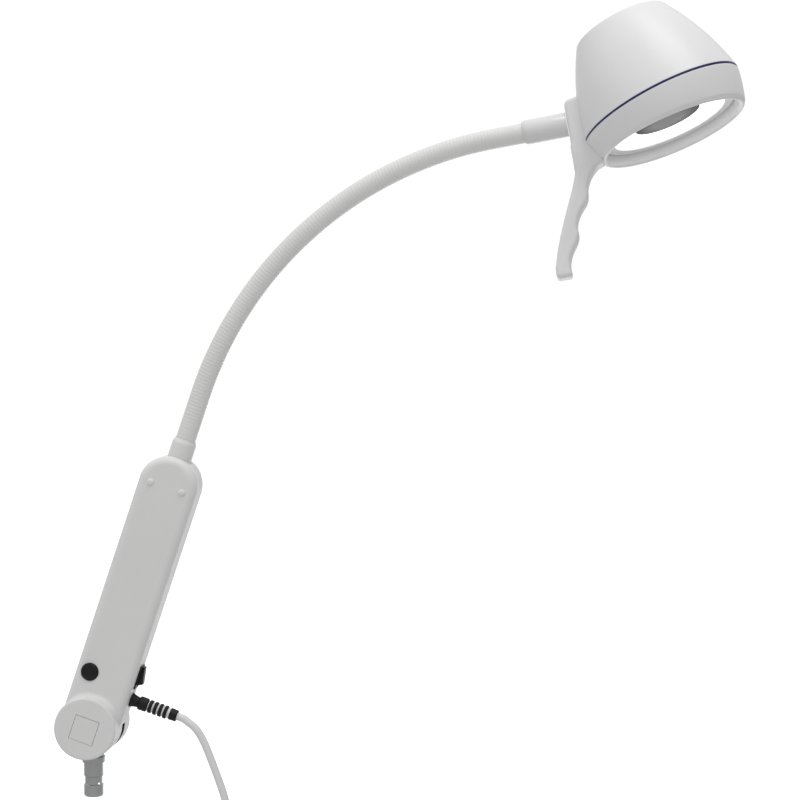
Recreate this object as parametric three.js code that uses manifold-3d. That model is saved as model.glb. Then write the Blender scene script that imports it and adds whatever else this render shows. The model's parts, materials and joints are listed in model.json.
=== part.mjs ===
// Surgical examination light: a friction hinge on a 16 mm pin, a flat housing with the mains
// supply, a bendable gooseneck and a swivelling LED head with a grip.
// Millimetres, +Z up along the pin, origin at the centre of the pin's lower end face.
// The arm leans towards +X in the plane y = ARM_Y, and its control face looks along -Y.
import * as THREE from 'three';
import { mergeVertices } from 'three/addons/utils/BufferGeometryUtils.js';
import Module from 'manifold-3d';

const wasm = await Module();
wasm.setup();

// ---------------------------------------------------------------- driving dimensions
const GAP = 0.3;                 // between touching pieces
const ARM_Y = -4;                // plane of the arm, in front of the pin's axis

const PIN_R = 8;                 // 16 mm pin
const PIN_GROOVE_R = 7.15;
const PIN_GROOVE_Z = [10.2, 17];
const PIN_CHAMFER = 1.2;
const COLLAR_R = 9.4;
const COLLAR_Z = [28, 33];
const WIRE_HOLE_R = 1.1;         // slanted hole at the lower edge of the groove
const TONGUE_T = 7;
const TONGUE_W = 13;
const EYE_R = 12.5;

const PIVOT_Z = 60.5;
const LEAN = 18.65;              // degrees from vertical at rest
const DRUM_R = 25.45;
const DRUM_T = 52;
const SLOT_Y = [-0.7, 8.7];      // slot for the tongue, in the arm's frame
const SLOT_TOP = 7.5;            // where the slot ends on the housing's sides
const BOLT_R = 4;
const PLATE = 19.7;              // square blank cover over the hinge bolt
const PLATE_DROP = 0.8;

const BODY_W = 48.5;
const BODY_T = 32.7;
const BODY_TOP = 230.3;          // from the pivot
const BODY_EDGE = 6;             // rounding of the long edges
const WALL = 2.6;

const BUTTON = { x: -12.3, z: 43.2, r: 6.9, travel: 1 };
const PLUG_X = 13.35;            // two screw plugs near the top
const PLUG_Z = 205.6;
const PLUG_R = 2.9;
const ROCKER = { z: 49.2, length: 19.6, width: 13, frame: 1.4 };
const RELIEF_Z = 29.3;
const SCREW_SPOTS = [[-15, 192], [15, 192], [-15, 84], [15, 84]];

const FERRULE_R = 9.75;
const NECK_R = 8.05;
const NECK_BASE = 243.5;         // lower ferrule's upper end, from the pivot
const NECK_STRAIGHT = 40;        // first straight stretch
const NECK_ARC = 326;            // arc length of the bend
const NECK_END_PITCH = 10.35;    // degrees above horizontal at the head
const NECK_LENGTH = 391;
const UPPER_FERRULE = 35.3;
const JOINTS = 10;
const FIRST_JOINT = 18;
const JOINT_PITCH = 39.5;
const BALL_R = 6.5;
const JOINT_HALF_GAP = 1.5;

const SWIVEL = 10.2;             // degrees the head is turned about the neck's end at rest
const DOME = { x: 74.9, z: -0.5, tilt: 15.8, r: 66.15, h: 71.5, top: 75.6 };
const RIM = { x: 80.5, z: -23.8, tilt: 11.7, r: 59.9, lip: 4.0, height: 23.9 };
const SHELL = 2.4;

const CORD_R = 3.3;
const COIL_R = 37;               // mid-turn radius of the stored coil
const COIL_HALF = 13.4;
const COIL_BAND = 10.2;          // half the radial thickness of the wound turns
const COIL_X = 114;
const COIL_Z = -88;
const COIL_Y = ARM_Y + COIL_HALF - CORD_R;   // the cord joins the coil's front turns

// ---------------------------------------------------------------- colours
const white = (c = 0xe4e4e2, rough = 0.45) =>
  new THREE.MeshStandardMaterial({ color: c, roughness: rough, metalness: 0 });
const black = () => new THREE.MeshStandardMaterial({ color: 0x1c1c1e, roughness: 0.5 });
const steel = () => new THREE.MeshStandardMaterial({ color: 0x8c8e8d, roughness: 0.4, metalness: 0.9 });
const brass = () => new THREE.MeshStandardMaterial({ color: 0xb89a55, roughness: 0.35, metalness: 0.9 });
const board = () => new THREE.MeshStandardMaterial({ color: 0x1f5b3a, roughness: 0.6 });
const navy = () => new THREE.MeshStandardMaterial({ color: 0x1a1f4e, roughness: 0.4 });
const grey = () => new THREE.MeshStandardMaterial({ color: 0x55585a, roughness: 0.3 });

// ---------------------------------------------------------------- solids
const rad = THREE.MathUtils.degToRad;

// Keeps positions only, joins the corners that meet and drops triangles with no area.
function welded(geometry) {
  geometry.deleteAttribute('normal');
  geometry.deleteAttribute('uv');
  const merged = mergeVertices(geometry, 1e-4);
  const from = merged.index.array;
  const kept = [];
  for (let i = 0; i < from.length; i += 3) {
    const [a, b, c] = [from[i], from[i + 1], from[i + 2]];
    if (a !== b && b !== c && c !== a) kept.push(a, b, c);
  }
  merged.setIndex(kept);
  return merged;
}

function solid(geometry) {
  return new wasm.Manifold(new wasm.Mesh({
    numProp: 3,
    vertProperties: new Float32Array(geometry.attributes.position.array),
    triVerts: new Uint32Array(geometry.index.array),
  }));
}

function geometryOf(body) {
  const mesh = body.getMesh();
  const geometry = new THREE.BufferGeometry();
  geometry.setAttribute('position', new THREE.BufferAttribute(mesh.vertProperties, 3));
  geometry.setIndex(new THREE.BufferAttribute(mesh.triVerts, 1));
  return geometry;
}

// Turned about Z: the profile is a list of [radius, height], up the outside and down the inside.
function turned(profile, segments = 48) {
  const points = profile.map(([r, z]) => new THREE.Vector2(r, z));
  return welded(new THREE.LatheGeometry(points, segments)).rotateX(Math.PI / 2);
}

function rod(radius, length, segments = 32) {
  return turned([[0, 0], [radius, 0], [radius, length], [0, length]], segments);
}

// A rod along Y from y0 to y1 at x, z.
function crossRod(radius, y0, y1, x = 0, z = 0, segments = 32) {
  return rod(radius, y1 - y0, segments).rotateX(-Math.PI / 2).translate(x, y0, z);
}

function block(x0, x1, y0, y1, z0, z1) {
  return welded(new THREE.BoxGeometry(x1 - x0, y1 - y0, z1 - z0))
    .translate((x0 + x1) / 2, (y0 + y1) / 2, (z0 + z1) / 2);
}

// An outline in x and z pushed along Y from y0 to y1, its edges rounded by edge.
function pushed(shape, y0, y1, edge = 0, curveSegments = 16, edgeSegments = 4) {
  return welded(new THREE.ExtrudeGeometry(shape, {
    depth: y1 - y0 - 2 * edge,
    bevelEnabled: edge > 0,
    bevelThickness: edge,
    bevelSize: edge,
    bevelOffset: -edge,
    bevelSegments: edgeSegments,
    curveSegments,
  })).rotateX(Math.PI / 2).translate(0, y1 - edge, 0);
}

function ringShape(radius, sides) {
  const points = [];
  for (let i = 0; i < sides; i += 1) {
    const angle = (2 * Math.PI * i) / sides;
    points.push(new THREE.Vector2(radius * Math.cos(angle), radius * Math.sin(angle)));
  }
  return new THREE.Shape(points);
}

function tube(curve, radius, sides, steps) {
  return welded(new THREE.ExtrudeGeometry(ringShape(radius, sides), { steps, extrudePath: curve }));
}

function ball(radius, at) {
  return welded(new THREE.SphereGeometry(radius, 10, 6)).translate(at.x, at.y, at.z);
}

const light = new THREE.Group();

function put(parent, name, geometry, material) {
  const mesh = new THREE.Mesh(geometry, material);
  mesh.name = name;
  parent.add(mesh);
  return mesh;
}

// ---------------------------------------------------------------- pin and hinge tongue
function spigotPin() {
  const [g0, g1] = PIN_GROOVE_Z;
  const pin = solid(turned([
    [0, 0], [PIN_R - PIN_CHAMFER, 0], [PIN_R, PIN_CHAMFER], [PIN_R, g0 - 0.4],
    [PIN_GROOVE_R, g0], [PIN_GROOVE_R, g1 - 0.6], [PIN_R, g1], [PIN_R, COLLAR_Z[0]],
    [COLLAR_R, COLLAR_Z[0]], [COLLAR_R, COLLAR_Z[1]], [0, COLLAR_Z[1]],
  ], 48));
  const tongue = solid(block(-TONGUE_W / 2, TONGUE_W / 2, -TONGUE_T / 2, TONGUE_T / 2,
    COLLAR_Z[1] - 1, PIVOT_Z));
  const eye = solid(crossRod(EYE_R, -TONGUE_T / 2, TONGUE_T / 2, 0, PIVOT_Z, 36));
  const bore = solid(crossRod(BOLT_R + GAP, -TONGUE_T, TONGUE_T, 0, PIVOT_Z, 24));
  const slant = new THREE.Vector3(0.2435, -0.9443, 0.2214).normalize();
  const turn = new THREE.Quaternion().setFromUnitVectors(new THREE.Vector3(0, 0, 1), slant);
  const wireHole = solid(rod(WIRE_HOLE_R, 40, 12).translate(0, 0, -20)
    .applyQuaternion(turn).translate(4.0, 1.0, 9.7));
  return geometryOf(pin.add(tongue).add(eye).subtract(bore).subtract(wireHole));
}
put(light, 'spigot_pin', spigotPin(), steel());

// ---------------------------------------------------------------- arm: housing and its contents
const arm = new THREE.Group();
arm.position.set(0, ARM_Y, PIVOT_Z);
arm.rotation.y = rad(LEAN);
light.add(arm);

function stadium(halfWidth, top, bottom) {
  const shape = new THREE.Shape();
  const centre = top - halfWidth;
  shape.moveTo(-halfWidth, bottom);
  shape.lineTo(halfWidth, bottom);
  shape.lineTo(halfWidth, centre);
  shape.absarc(0, centre, halfWidth, 0, Math.PI, false);
  shape.lineTo(-halfWidth, bottom);
  return shape;
}

function housing() {
  const half = BODY_W / 2;
  const t = BODY_T / 2;
  const outer = solid(pushed(stadium(half, BODY_TOP, -4), -t, t, BODY_EDGE, 12, 3));
  const below = solid(block(-40, 40, -40, 40, -20, 4));
  const drum = solid(pushed(new THREE.Shape().absarc(0, 0, DRUM_R, 0, 2 * Math.PI, false),
    -DRUM_T / 2, DRUM_T / 2, 3.5, 32, 2));
  const cavity = solid(pushed(stadium(half - WALL, BODY_TOP - WALL, 28), -t + WALL, t - WALL, 3, 10, 1));
  let body = outer.subtract(below).add(drum).subtract(cavity);
  // slot for the tongue: open round the drum's lower half, up to SLOT_TOP on the sides
  const slot = solid(block(-40, 40, SLOT_Y[0], SLOT_Y[1], -40, SLOT_TOP));
  const eyeRoom = solid(crossRod(EYE_R + 4.5, SLOT_Y[0], SLOT_Y[1], 0, 0, 36));
  body = body.subtract(slot).subtract(eyeRoom);
  // hinge bolt bore, the pockets for its head and nut, and the cover plate's recess
  const face = DRUM_T / 2;
  body = body.subtract(solid(crossRod(BOLT_R + GAP, -face, face, 0, 0, 24)));
  body = body.subtract(solid(crossRod(9, -face + 2, -9, 0, 0, 30)));
  body = body.subtract(solid(crossRod(9, 15, face - 2, 0, 0, 30)));
  const recess = PLATE / 2 + GAP;
  body = body.subtract(solid(block(-recess, recess, -face - 1, -face + 1.9,
    -recess - PLATE_DROP, recess - PLATE_DROP)));
  body = body.subtract(solid(crossRod(10.5, face - 2.1, face + 1, 0, 0, 36)));
  // openings for the push button, the rocker, the strain relief, the neck and the screw plugs
  body = body.subtract(solid(crossRod(BUTTON.r + GAP, -t - 1, -t + WALL + 1, BUTTON.x, BUTTON.z, 32)));
  const rockerHalf = ROCKER.length / 2 - 1.2;
  body = body.subtract(solid(block(half - WALL - 1, half + 1, -ROCKER.width / 2 + 1.2,
    ROCKER.width / 2 - 1.2, ROCKER.z - rockerHalf, ROCKER.z + rockerHalf)));
  body = body.subtract(solid(rod(4.6, 20, 24).rotateY(Math.PI / 2)
    .translate(half - 12, 0, RELIEF_Z)));
  body = body.subtract(solid(rod(FERRULE_R + GAP, 20, 32).translate(0, 0, BODY_TOP - 10)));
  for (const x of [-PLUG_X, PLUG_X]) {
    body = body.subtract(solid(crossRod(PLUG_R - 0.7, -t - 1, -t + 1.6, x, PLUG_Z, 20)));
  }
  // screw posts and their holes, entered from the rear
  for (const [x, z] of SCREW_SPOTS) {
    body = body.add(solid(crossRod(3.6, -t + 1, t - 1, x, z, 12)));
    body = body.subtract(solid(crossRod(1.9, -8, t + 1, x, z, 12)));
    body = body.subtract(solid(crossRod(3.2, t - 1.9, t + 1, x, z, 14)));
  }
  return body;
}

const housingBody = housing();
const parting = GAP / 2;
const frontHalf = solid(block(-60, 60, -60, -parting, -60, 300));
const rearHalf = solid(block(-60, 60, parting, 60, -60, 300));
put(arm, 'housing_front', geometryOf(housingBody.intersect(frontHalf)), white());
put(arm, 'housing_rear', geometryOf(housingBody.intersect(rearHalf)), white());

function hingeParts() {
  const face = DRUM_T / 2;
  put(arm, 'hinge_bolt', geometryOf(solid(crossRod(BOLT_R, -22, 19.5, 0, 0, 24))
    .add(solid(crossRod(7, -22, -17.5, 0, 0, 6)))), steel());
  const ringAlongY = (outer, inner, y0, y1, sides = 24) => turned([
    [inner, 0], [outer, 0], [outer, y1 - y0], [inner, y1 - y0], [inner, 0],
  ], sides).rotateX(-Math.PI / 2).translate(0, y0, 0);
  put(arm, 'spring_washer', ringAlongY(8, BOLT_R + GAP, -17.2, -12.5), steel());
  put(arm, 'bolt_washer', ringAlongY(8.4, BOLT_R + GAP, -12.2, -9.3), steel());
  put(arm, 'hinge_nut', geometryOf(solid(crossRod(7, 15.4, 19.8, 0, 0, 6))
    .subtract(solid(crossRod(BOLT_R + GAP, 15, 21, 0, 0, 24)))), steel());
  put(arm, 'friction_washer_front', ringAlongY(12, BOLT_R + GAP, SLOT_Y[0] + GAP, SLOT_Y[0] + 0.9), brass());
  put(arm, 'friction_washer_rear', ringAlongY(12, BOLT_R + GAP, SLOT_Y[1] - 0.9, SLOT_Y[1] - GAP), brass());
  const h = PLATE / 2;
  put(arm, 'hinge_cover_plate', block(-h, h, -face, -face + 1.6, -h - PLATE_DROP, h - PLATE_DROP), white());
  put(arm, 'hinge_cap_rear', crossRod(10.2, face - 1.8, face, 0, 0, 36), white());
}
hingeParts();

function screwPlugs() {
  const t = BODY_T / 2;
  const crown = 1.3;
  const sides = ['left', 'right'];
  sides.forEach((side, i) => {
    const plug = turned([
      [0, -1.2], [PLUG_R - 1, -1.2], [PLUG_R - 1, GAP], [PLUG_R, GAP], [PLUG_R * 0.87, 0.75],
      [PLUG_R * 0.55, crown], [0, crown + 0.25],
    ], 24).rotateX(Math.PI / 2).translate(i === 0 ? -PLUG_X : PLUG_X, -t, PLUG_Z);
    put(arm, `screw_plug_${side}`, plug, white());
  });
  SCREW_SPOTS.forEach(([x, z], i) => {
    const screw = turned([
      [0, -21], [1.5, -21], [1.5, -1.5], [2.9, -1.5], [2.9, 0], [0, 0],
    ], 16).rotateX(-Math.PI / 2).translate(x, t - 0.3, z);
    put(arm, `housing_screw_${i + 1}`, screw, steel());
  });
}
screwPlugs();

function controls() {
  const t = BODY_T / 2;
  const cap = turned([
    [0, -4.6], [BUTTON.r - 1, -4.6], [BUTTON.r, -4.2], [BUTTON.r, 0.2], [BUTTON.r - 0.6, 0.8],
    [BUTTON.r - 1.8, 0.8], [BUTTON.r - 2.4, 0.45], [0, 0.3],
  ], 36).rotateX(Math.PI / 2).translate(BUTTON.x, -t, BUTTON.z);
  put(arm, 'dimmer_button', cap, black());
  put(arm, 'button_switch', block(BUTTON.x - 5, BUTTON.x + 5, -t + 6, -t + 10.5,
    BUTTON.z - 5, BUTTON.z + 5), black());
  const half = BODY_W / 2;
  const frameOuter = block(half + GAP, half + ROCKER.frame, -ROCKER.width / 2, ROCKER.width / 2,
    ROCKER.z - ROCKER.length / 2, ROCKER.z + ROCKER.length / 2);
  const throat = block(half - 3.6, half + 1, -ROCKER.width / 2 + 1.6, ROCKER.width / 2 - 1.6,
    ROCKER.z - ROCKER.length / 2 + 1.6, ROCKER.z + ROCKER.length / 2 - 1.6);
  const window = block(half - 6, half + 4, -ROCKER.width / 2 + 2.6, ROCKER.width / 2 - 2.6,
    ROCKER.z - ROCKER.length / 2 + 2.6, ROCKER.z + ROCKER.length / 2 - 2.6);
  put(arm, 'rocker_frame', geometryOf(solid(frameOuter).add(solid(throat)).subtract(solid(window))), black());
  const reach = ROCKER.length / 2 - 3;
  const paddle = new THREE.Shape();
  paddle.moveTo(-2.6, -reach + 0.9);
  paddle.lineTo(2.2, -reach + 0.6);
  paddle.lineTo(5.7, -reach + 2.2);
  paddle.lineTo(3.3, reach + 2.4);
  paddle.lineTo(2.0, reach + 2.6);
  paddle.lineTo(ROCKER.frame + 0.4, reach - 0.4);
  paddle.lineTo(-2.6, reach - 0.9);
  put(arm, 'power_rocker', pushed(paddle, -ROCKER.width / 2 + 3, ROCKER.width / 2 - 3)
    .translate(half, 0, ROCKER.z), black());
  put(arm, 'rocker_switch_body', block(half - 17, half - 6.3, -ROCKER.width / 2 + 1,
    ROCKER.width / 2 - 1, ROCKER.z - 8, ROCKER.z + 8), black());
}
controls();

function supply() {
  put(arm, 'supply_board', block(-18, 18, 3.6, 5.2, 96, 184), board());
  put(arm, 'transformer', block(-12, 12, -9, 3.3, 102, 126), brass());
  put(arm, 'smoothing_capacitor', rod(5, 20, 20).translate(8, -2, 134), black());
  put(arm, 'control_chip_block', block(-14, -3, -2, 3.3, 134, 150), black());
  put(arm, 'terminal_block', block(-10, 10, -8, 3.3, 160, 170), white(0xd0d0cc));
  put(arm, 'cable_clamp', block(2, 10, -6, 6, RELIEF_Z + 0.5, RELIEF_Z + 6), steel());
}
supply();

// ---------------------------------------------------------------- strain relief, cord, coil and plug
const reliefStart = BODY_W / 2 + GAP;
const RELIEF_END = 64.5;
function strainRelief() {
  const ribs = [];
  const ribPitch = 4.35;
  for (let i = 0; i < 4; i += 1) {
    const at = 40 + i * ribPitch;
    ribs.push([3.9, at], [5.4, at + 0.4], [5.4, at + 2.6], [3.9, at + 3]);
  }
  return turned([
    [0, reliefStart], [5.9, reliefStart], [4.3, 30.5], [4.3, 31.2], [5.7, 31.8], [5.7, 38.4],
    [3.9, 39], ...ribs, [3.9, 57.8], [5, 58.3], [4.7, RELIEF_END], [0, RELIEF_END],
  ], 12).rotateY(Math.PI / 2).translate(0, 0, RELIEF_Z);
}
put(arm, 'strain_relief', strainRelief(), black());

// The cord leaves the strain relief square to the housing, bends down and hangs to the coil.
const lean = rad(LEAN);
const armPoint = (x, z) => new THREE.Vector3(
  x * Math.cos(lean) + z * Math.sin(lean), ARM_Y,
  PIVOT_Z - x * Math.sin(lean) + z * Math.cos(lean));
const S_BEND = 27;
const OUTER_TURN = COIL_R + COIL_BAND - CORD_R;
const bendStart = Math.sqrt((S_BEND + OUTER_TURN) ** 2 - S_BEND ** 2);
const cordPoints = [
  armPoint(RELIEF_END + GAP, RELIEF_Z),
  armPoint(RELIEF_END + 6, RELIEF_Z - 0.3),
  new THREE.Vector3(84.6, ARM_Y, 59.0),
  new THREE.Vector3(91.2, ARM_Y, 49.4),
  new THREE.Vector3(95.8, ARM_Y, 39.2),
  new THREE.Vector3(102.2, ARM_Y, 22.6),
  new THREE.Vector3(108.4, ARM_Y, 5.0),
  new THREE.Vector3(112.4, ARM_Y, -10.0),
  new THREE.Vector3(COIL_X, ARM_Y, COIL_Z + bendStart),
];
const topOfCoil = new THREE.Vector3(COIL_X + 1.1, ARM_Y, COIL_Z + COIL_R + COIL_BAND + 5.6);
put(light, 'power_cord', tube(new THREE.CatmullRomCurve3([...cordPoints, topOfCoil]), CORD_R, 10, 14),
  white(0xdedede));
const coilOuter = COIL_R + COIL_BAND;
const coilInner = COIL_R - COIL_BAND;
put(light, 'power_cord_coil', turned([
  [coilInner, -COIL_HALF], [coilOuter, -COIL_HALF], [coilOuter, COIL_HALF],
  [coilInner, COIL_HALF], [coilInner, -COIL_HALF],
], 40).rotateX(Math.PI / 2).translate(COIL_X, COIL_Y, COIL_Z), white(0xdedede));
const TIE_GAP = 0.4;
const tieInner = coilInner - 3 * TIE_GAP;
const tie = solid(block(-5, 5, -COIL_HALF - 2, COIL_HALF + 2, -coilOuter - 2, -tieInner + 1.6))
  .subtract(solid(block(-6, 6, -COIL_HALF - TIE_GAP, COIL_HALF + TIE_GAP,
    -coilOuter - TIE_GAP, -tieInner)));
put(light, 'coil_tie', geometryOf(tie.rotate([0, 90, 0])).translate(COIL_X, COIL_Y, COIL_Z), black());
// The tail leaves the inner turns along the coil's rear side and ends in the plug.
const TAIL_Y = COIL_Y + COIL_HALF + CORD_R + 0.6;
const PLUG_TOP = -170;
const tailPoints = [
  new THREE.Vector3(COIL_X + 28.0, TAIL_Y, -98.0),
  new THREE.Vector3(COIL_X + 25.5, TAIL_Y, -105.0),
  new THREE.Vector3(COIL_X + 13.0, TAIL_Y, -126.6),
  new THREE.Vector3(COIL_X + 5.0, TAIL_Y, -140.5),
  new THREE.Vector3(COIL_X + 1.0, TAIL_Y, -151.0),
  new THREE.Vector3(COIL_X, TAIL_Y, PLUG_TOP + GAP),
];
put(light, 'power_cord_tail', tube(new THREE.CatmullRomCurve3(tailPoints), CORD_R, 10, 7), white(0xdedede));
function mainsPlug() {
  const body = solid(turned([
    [0, -46], [13, -46], [14, -44], [14, -34], [11, -22], [6.5, -16], [5.2, -14], [4.9, 0], [0, 0],
  ], 28));
  const pins = [-9.5, 9.5].map((x) => solid(rod(2.4, 19, 14).translate(x, 0, -64)));
  return geometryOf(body.add(pins[0]).add(pins[1]));
}
put(light, 'mains_plug', mainsPlug().translate(COIL_X, TAIL_Y, PLUG_TOP), white(0xdedede));

// ---------------------------------------------------------------- gooseneck
// Place and pitch of the neck's centre line at a distance along it, in the plane of the arm.
const startPitch = rad(90 - LEAN);
const endPitch = rad(NECK_END_PITCH);
const arcRadius = NECK_ARC / (startPitch - endPitch);
function neckAt(distance) {
  const ahead = (from, pitch, length) =>
    [from[0] + length * Math.cos(pitch), from[1] + length * Math.sin(pitch)];
  const base = armPoint(0, NECK_BASE);
  const first = ahead([base.x, base.z], startPitch, Math.min(distance, NECK_STRAIGHT));
  const onArc = Math.min(Math.max(distance - NECK_STRAIGHT, 0), NECK_ARC);
  const pitch = startPitch - onArc / arcRadius;
  const second = [
    first[0] + arcRadius * (Math.sin(startPitch) - Math.sin(pitch)),
    first[1] + arcRadius * (Math.cos(pitch) - Math.cos(startPitch)),
  ];
  const beyond = Math.max(distance - NECK_STRAIGHT - NECK_ARC, 0);
  const at = ahead(second, pitch, beyond);
  return { point: new THREE.Vector3(at[0], ARM_Y, at[1]), pitch };
}

class NeckCurve extends THREE.Curve {
  constructor(from, to) {
    super();
    this.from = from;
    this.to = to;
  }

  getPoint(t, target = new THREE.Vector3()) {
    return target.copy(neckAt(this.from + (this.to - this.from) * t).point);
  }
}

function neckPiece(from, to, ballAt, socketAt, steps) {
  let piece = solid(tube(new NeckCurve(from, to), NECK_R, 12, steps));
  if (ballAt !== null) {
    const { point } = neckAt(ballAt);
    piece = piece.add(solid(ball(BALL_R, point)));
  }
  if (socketAt !== null) {
    const { point } = neckAt(socketAt);
    piece = piece.subtract(solid(ball(BALL_R + GAP, point)));
  }
  return geometryOf(piece);
}

const jointAt = (k) => FIRST_JOINT + k * JOINT_PITCH;
put(light, 'neck_base', neckPiece(-9, jointAt(0) - JOINT_HALF_GAP, null, jointAt(0), 2), white());
for (let k = 0; k < JOINTS - 1; k += 1) {
  put(light, `neck_link_${k + 1}`, neckPiece(jointAt(k) + JOINT_HALF_GAP,
    jointAt(k + 1) - JOINT_HALF_GAP, jointAt(k), jointAt(k + 1), 2), white());
}
const last = jointAt(JOINTS - 1);
put(light, `neck_link_${JOINTS}`, neckPiece(last + JOINT_HALF_GAP, NECK_LENGTH + 18, last, null, 2), white());

put(arm, 'lower_ferrule', turned([
  [NECK_R + GAP, BODY_TOP - 8], [FERRULE_R, BODY_TOP - 8], [FERRULE_R, NECK_BASE - 1],
  [FERRULE_R - 1, NECK_BASE], [NECK_R + GAP, NECK_BASE], [NECK_R + GAP, BODY_TOP - 8],
], 32), white(0xdcdcda, 0.3));

// ---------------------------------------------------------------- neck end, bracket and head
const neckEnd = new THREE.Group();
neckEnd.position.copy(neckAt(NECK_LENGTH + UPPER_FERRULE).point);
neckEnd.rotation.y = -endPitch;
light.add(neckEnd);
const FERRULE_FLOOR = 16;        // thickness of the ferrule's solid end at the head
put(neckEnd, 'upper_ferrule', turned([
  [0, 0], [FERRULE_R, 0], [FERRULE_R, UPPER_FERRULE - 2.6],
  [NECK_R + GAP, UPPER_FERRULE], [NECK_R + GAP, FERRULE_FLOOR], [0, FERRULE_FLOOR],
], 32).rotateY(-Math.PI / 2), white(0xdcdcda, 0.3));

// Everything on the swivelling head is laid out with +X away from the neck and +Z towards the dome.
const head = new THREE.Group();
head.rotation.x = -rad(SWIVEL);
neckEnd.add(head);

const domeProfile = (t) => DOME.r - 0.165 * t - 0.0029 * t * t;
function domeOutline(grow) {
  const outline = [];
  const steps = 7;
  for (let i = 0; i <= steps; i += 1) {
    const t = (DOME.h * i) / steps;
    outline.push([domeProfile(t) + grow, t]);
  }
  const shoulder = domeProfile(DOME.h) + grow;
  outline.push([shoulder - 1.6, DOME.h + 1.7 + grow], [shoulder - 4.2, DOME.h + 2.9 + grow]);
  outline.push([shoulder - 10, DOME.h + 3.6 + grow], [0, DOME.top + grow]);
  return outline;
}

// The bezel is a turned ring whose upper end is tilted to the dome's split plane.
const wedge = Math.tan(rad(DOME.tilt - RIM.tilt));
function wedged(geometry) {
  const position = geometry.attributes.position;
  for (let i = 0; i < position.count; i += 1) {
    const share = Math.max(position.getZ(i), 0) / RIM.height;
    position.setZ(i, position.getZ(i) * (1 + (position.getX(i) * wedge) / RIM.height));
    position.setX(i, position.getX(i) - 0.76 * share);
  }
  return geometry;
}
const bezelOuter = (z) => RIM.r + (DOME.r - RIM.r) * (1.45 * (z / RIM.height) - 0.45 * (z / RIM.height) ** 2);
function bezelOutline(grow, bottom, topZ) {
  const outline = [];
  for (let i = 0; i <= 5; i += 1) {
    const z = bottom + ((topZ - bottom) * i) / 5;
    outline.push([bezelOuter(z) + grow, z]);
  }
  return outline;
}

const dome = new THREE.Group();
dome.position.set(DOME.x, 0, DOME.z);
dome.rotation.y = -rad(DOME.tilt);
head.add(dome);
const rim = new THREE.Group();
rim.position.set(RIM.x, 0, RIM.z);
rim.rotation.y = -rad(RIM.tilt);
head.add(rim);

const HALF_LINE = 0.65;          // half height of the navy accent ring
function domeShell() {
  const outer = domeOutline(0).map(([r, t]) => [r, Math.max(t, HALF_LINE + 0.15)]);
  const inner = domeOutline(-SHELL).map(([r, t]) => [r, Math.max(t, HALF_LINE + 0.15)]).reverse();
  return turned([...outer, ...inner, outer[0]], 44);
}
put(dome, 'head_dome', domeShell(), white());
put(dome, 'accent_ring', turned([
  [61.6, -HALF_LINE], [DOME.r + 0.05, -HALF_LINE], [DOME.r + 0.05, HALF_LINE], [61.6, HALF_LINE],
  [61.6, -HALF_LINE],
], 48), navy());

const BEZEL_TOP = RIM.height - HALF_LINE - 0.15;
const LEDGE = 11;                // depth of the inner ledge above the rim
function bezel() {
  const outer = bezelOutline(0, 1.2, BEZEL_TOP);
  const profile = [
    [RIM.r - RIM.lip, 0], [RIM.r - 0.9, 0], ...outer,
    [DOME.r - SHELL - 1.2, BEZEL_TOP], [RIM.r - 1.4, LEDGE + 2], [54.4, LEDGE + 2], [54.4, LEDGE],
    [55.1, 8.6], [RIM.r - RIM.lip - 0.5, 3], [RIM.r - RIM.lip, 0],
  ];
  return wedged(turned(profile, 48));
}
put(rim, 'head_bezel', bezel(), white());
put(rim, 'retaining_ring', turned([
  [46, 9], [54.1, 9], [54.1, 12], [52, 14.6], [46.6, 14.6], [46, 9],
], 40), white(0xd8d8d6));
put(rim, 'diffuser', turned([
  [27.3, 13.2], [45.6, 10.6], [46.3, 14.9], [46.3, 17], [27.3, 19], [27.3, 13.2],
], 40), white(0xf6f6f6, 0.2));
put(rim, 'centre_reflector', turned([
  [0, 8.6], [9, 9.1], [17, 10.4], [23, 12.1], [27, 13.5], [27, 19.4], [0, 19.4],
], 32), grey());

function lampEngine() {
  const leds = 8;
  let ledBoard = solid(rod(45, 1.6, 48).translate(0, 0, 20.6));
  for (let i = 0; i < leds; i += 1) {
    const angle = (2 * Math.PI * (i + 0.5)) / leds;
    ledBoard = ledBoard.add(solid(block(-2.5, 2.5, -2.5, 2.5, 19.9, 20.9)
      .translate(38 * Math.cos(angle), 38 * Math.sin(angle), 0)));
  }
  put(rim, 'led_board', geometryOf(ledBoard), board());
  const fins = [];
  for (const r of [40, 31, 22, 13]) {
    fins.push([r, 26], [r, 42], [r - 2, 42], [r - 2, 26]);
  }
  put(rim, 'heat_sink', turned([[0, 22.6], [45, 22.6], [45, 26], ...fins, [0, 26]], 24), steel());
  put(dome, 'driver_board', rod(24, 1.6, 24).translate(0, 0, 48), board());
  put(dome, 'driver_coil', rod(7, 8, 16).translate(-6, 4, 50), brass());
}
lampEngine();

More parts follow.
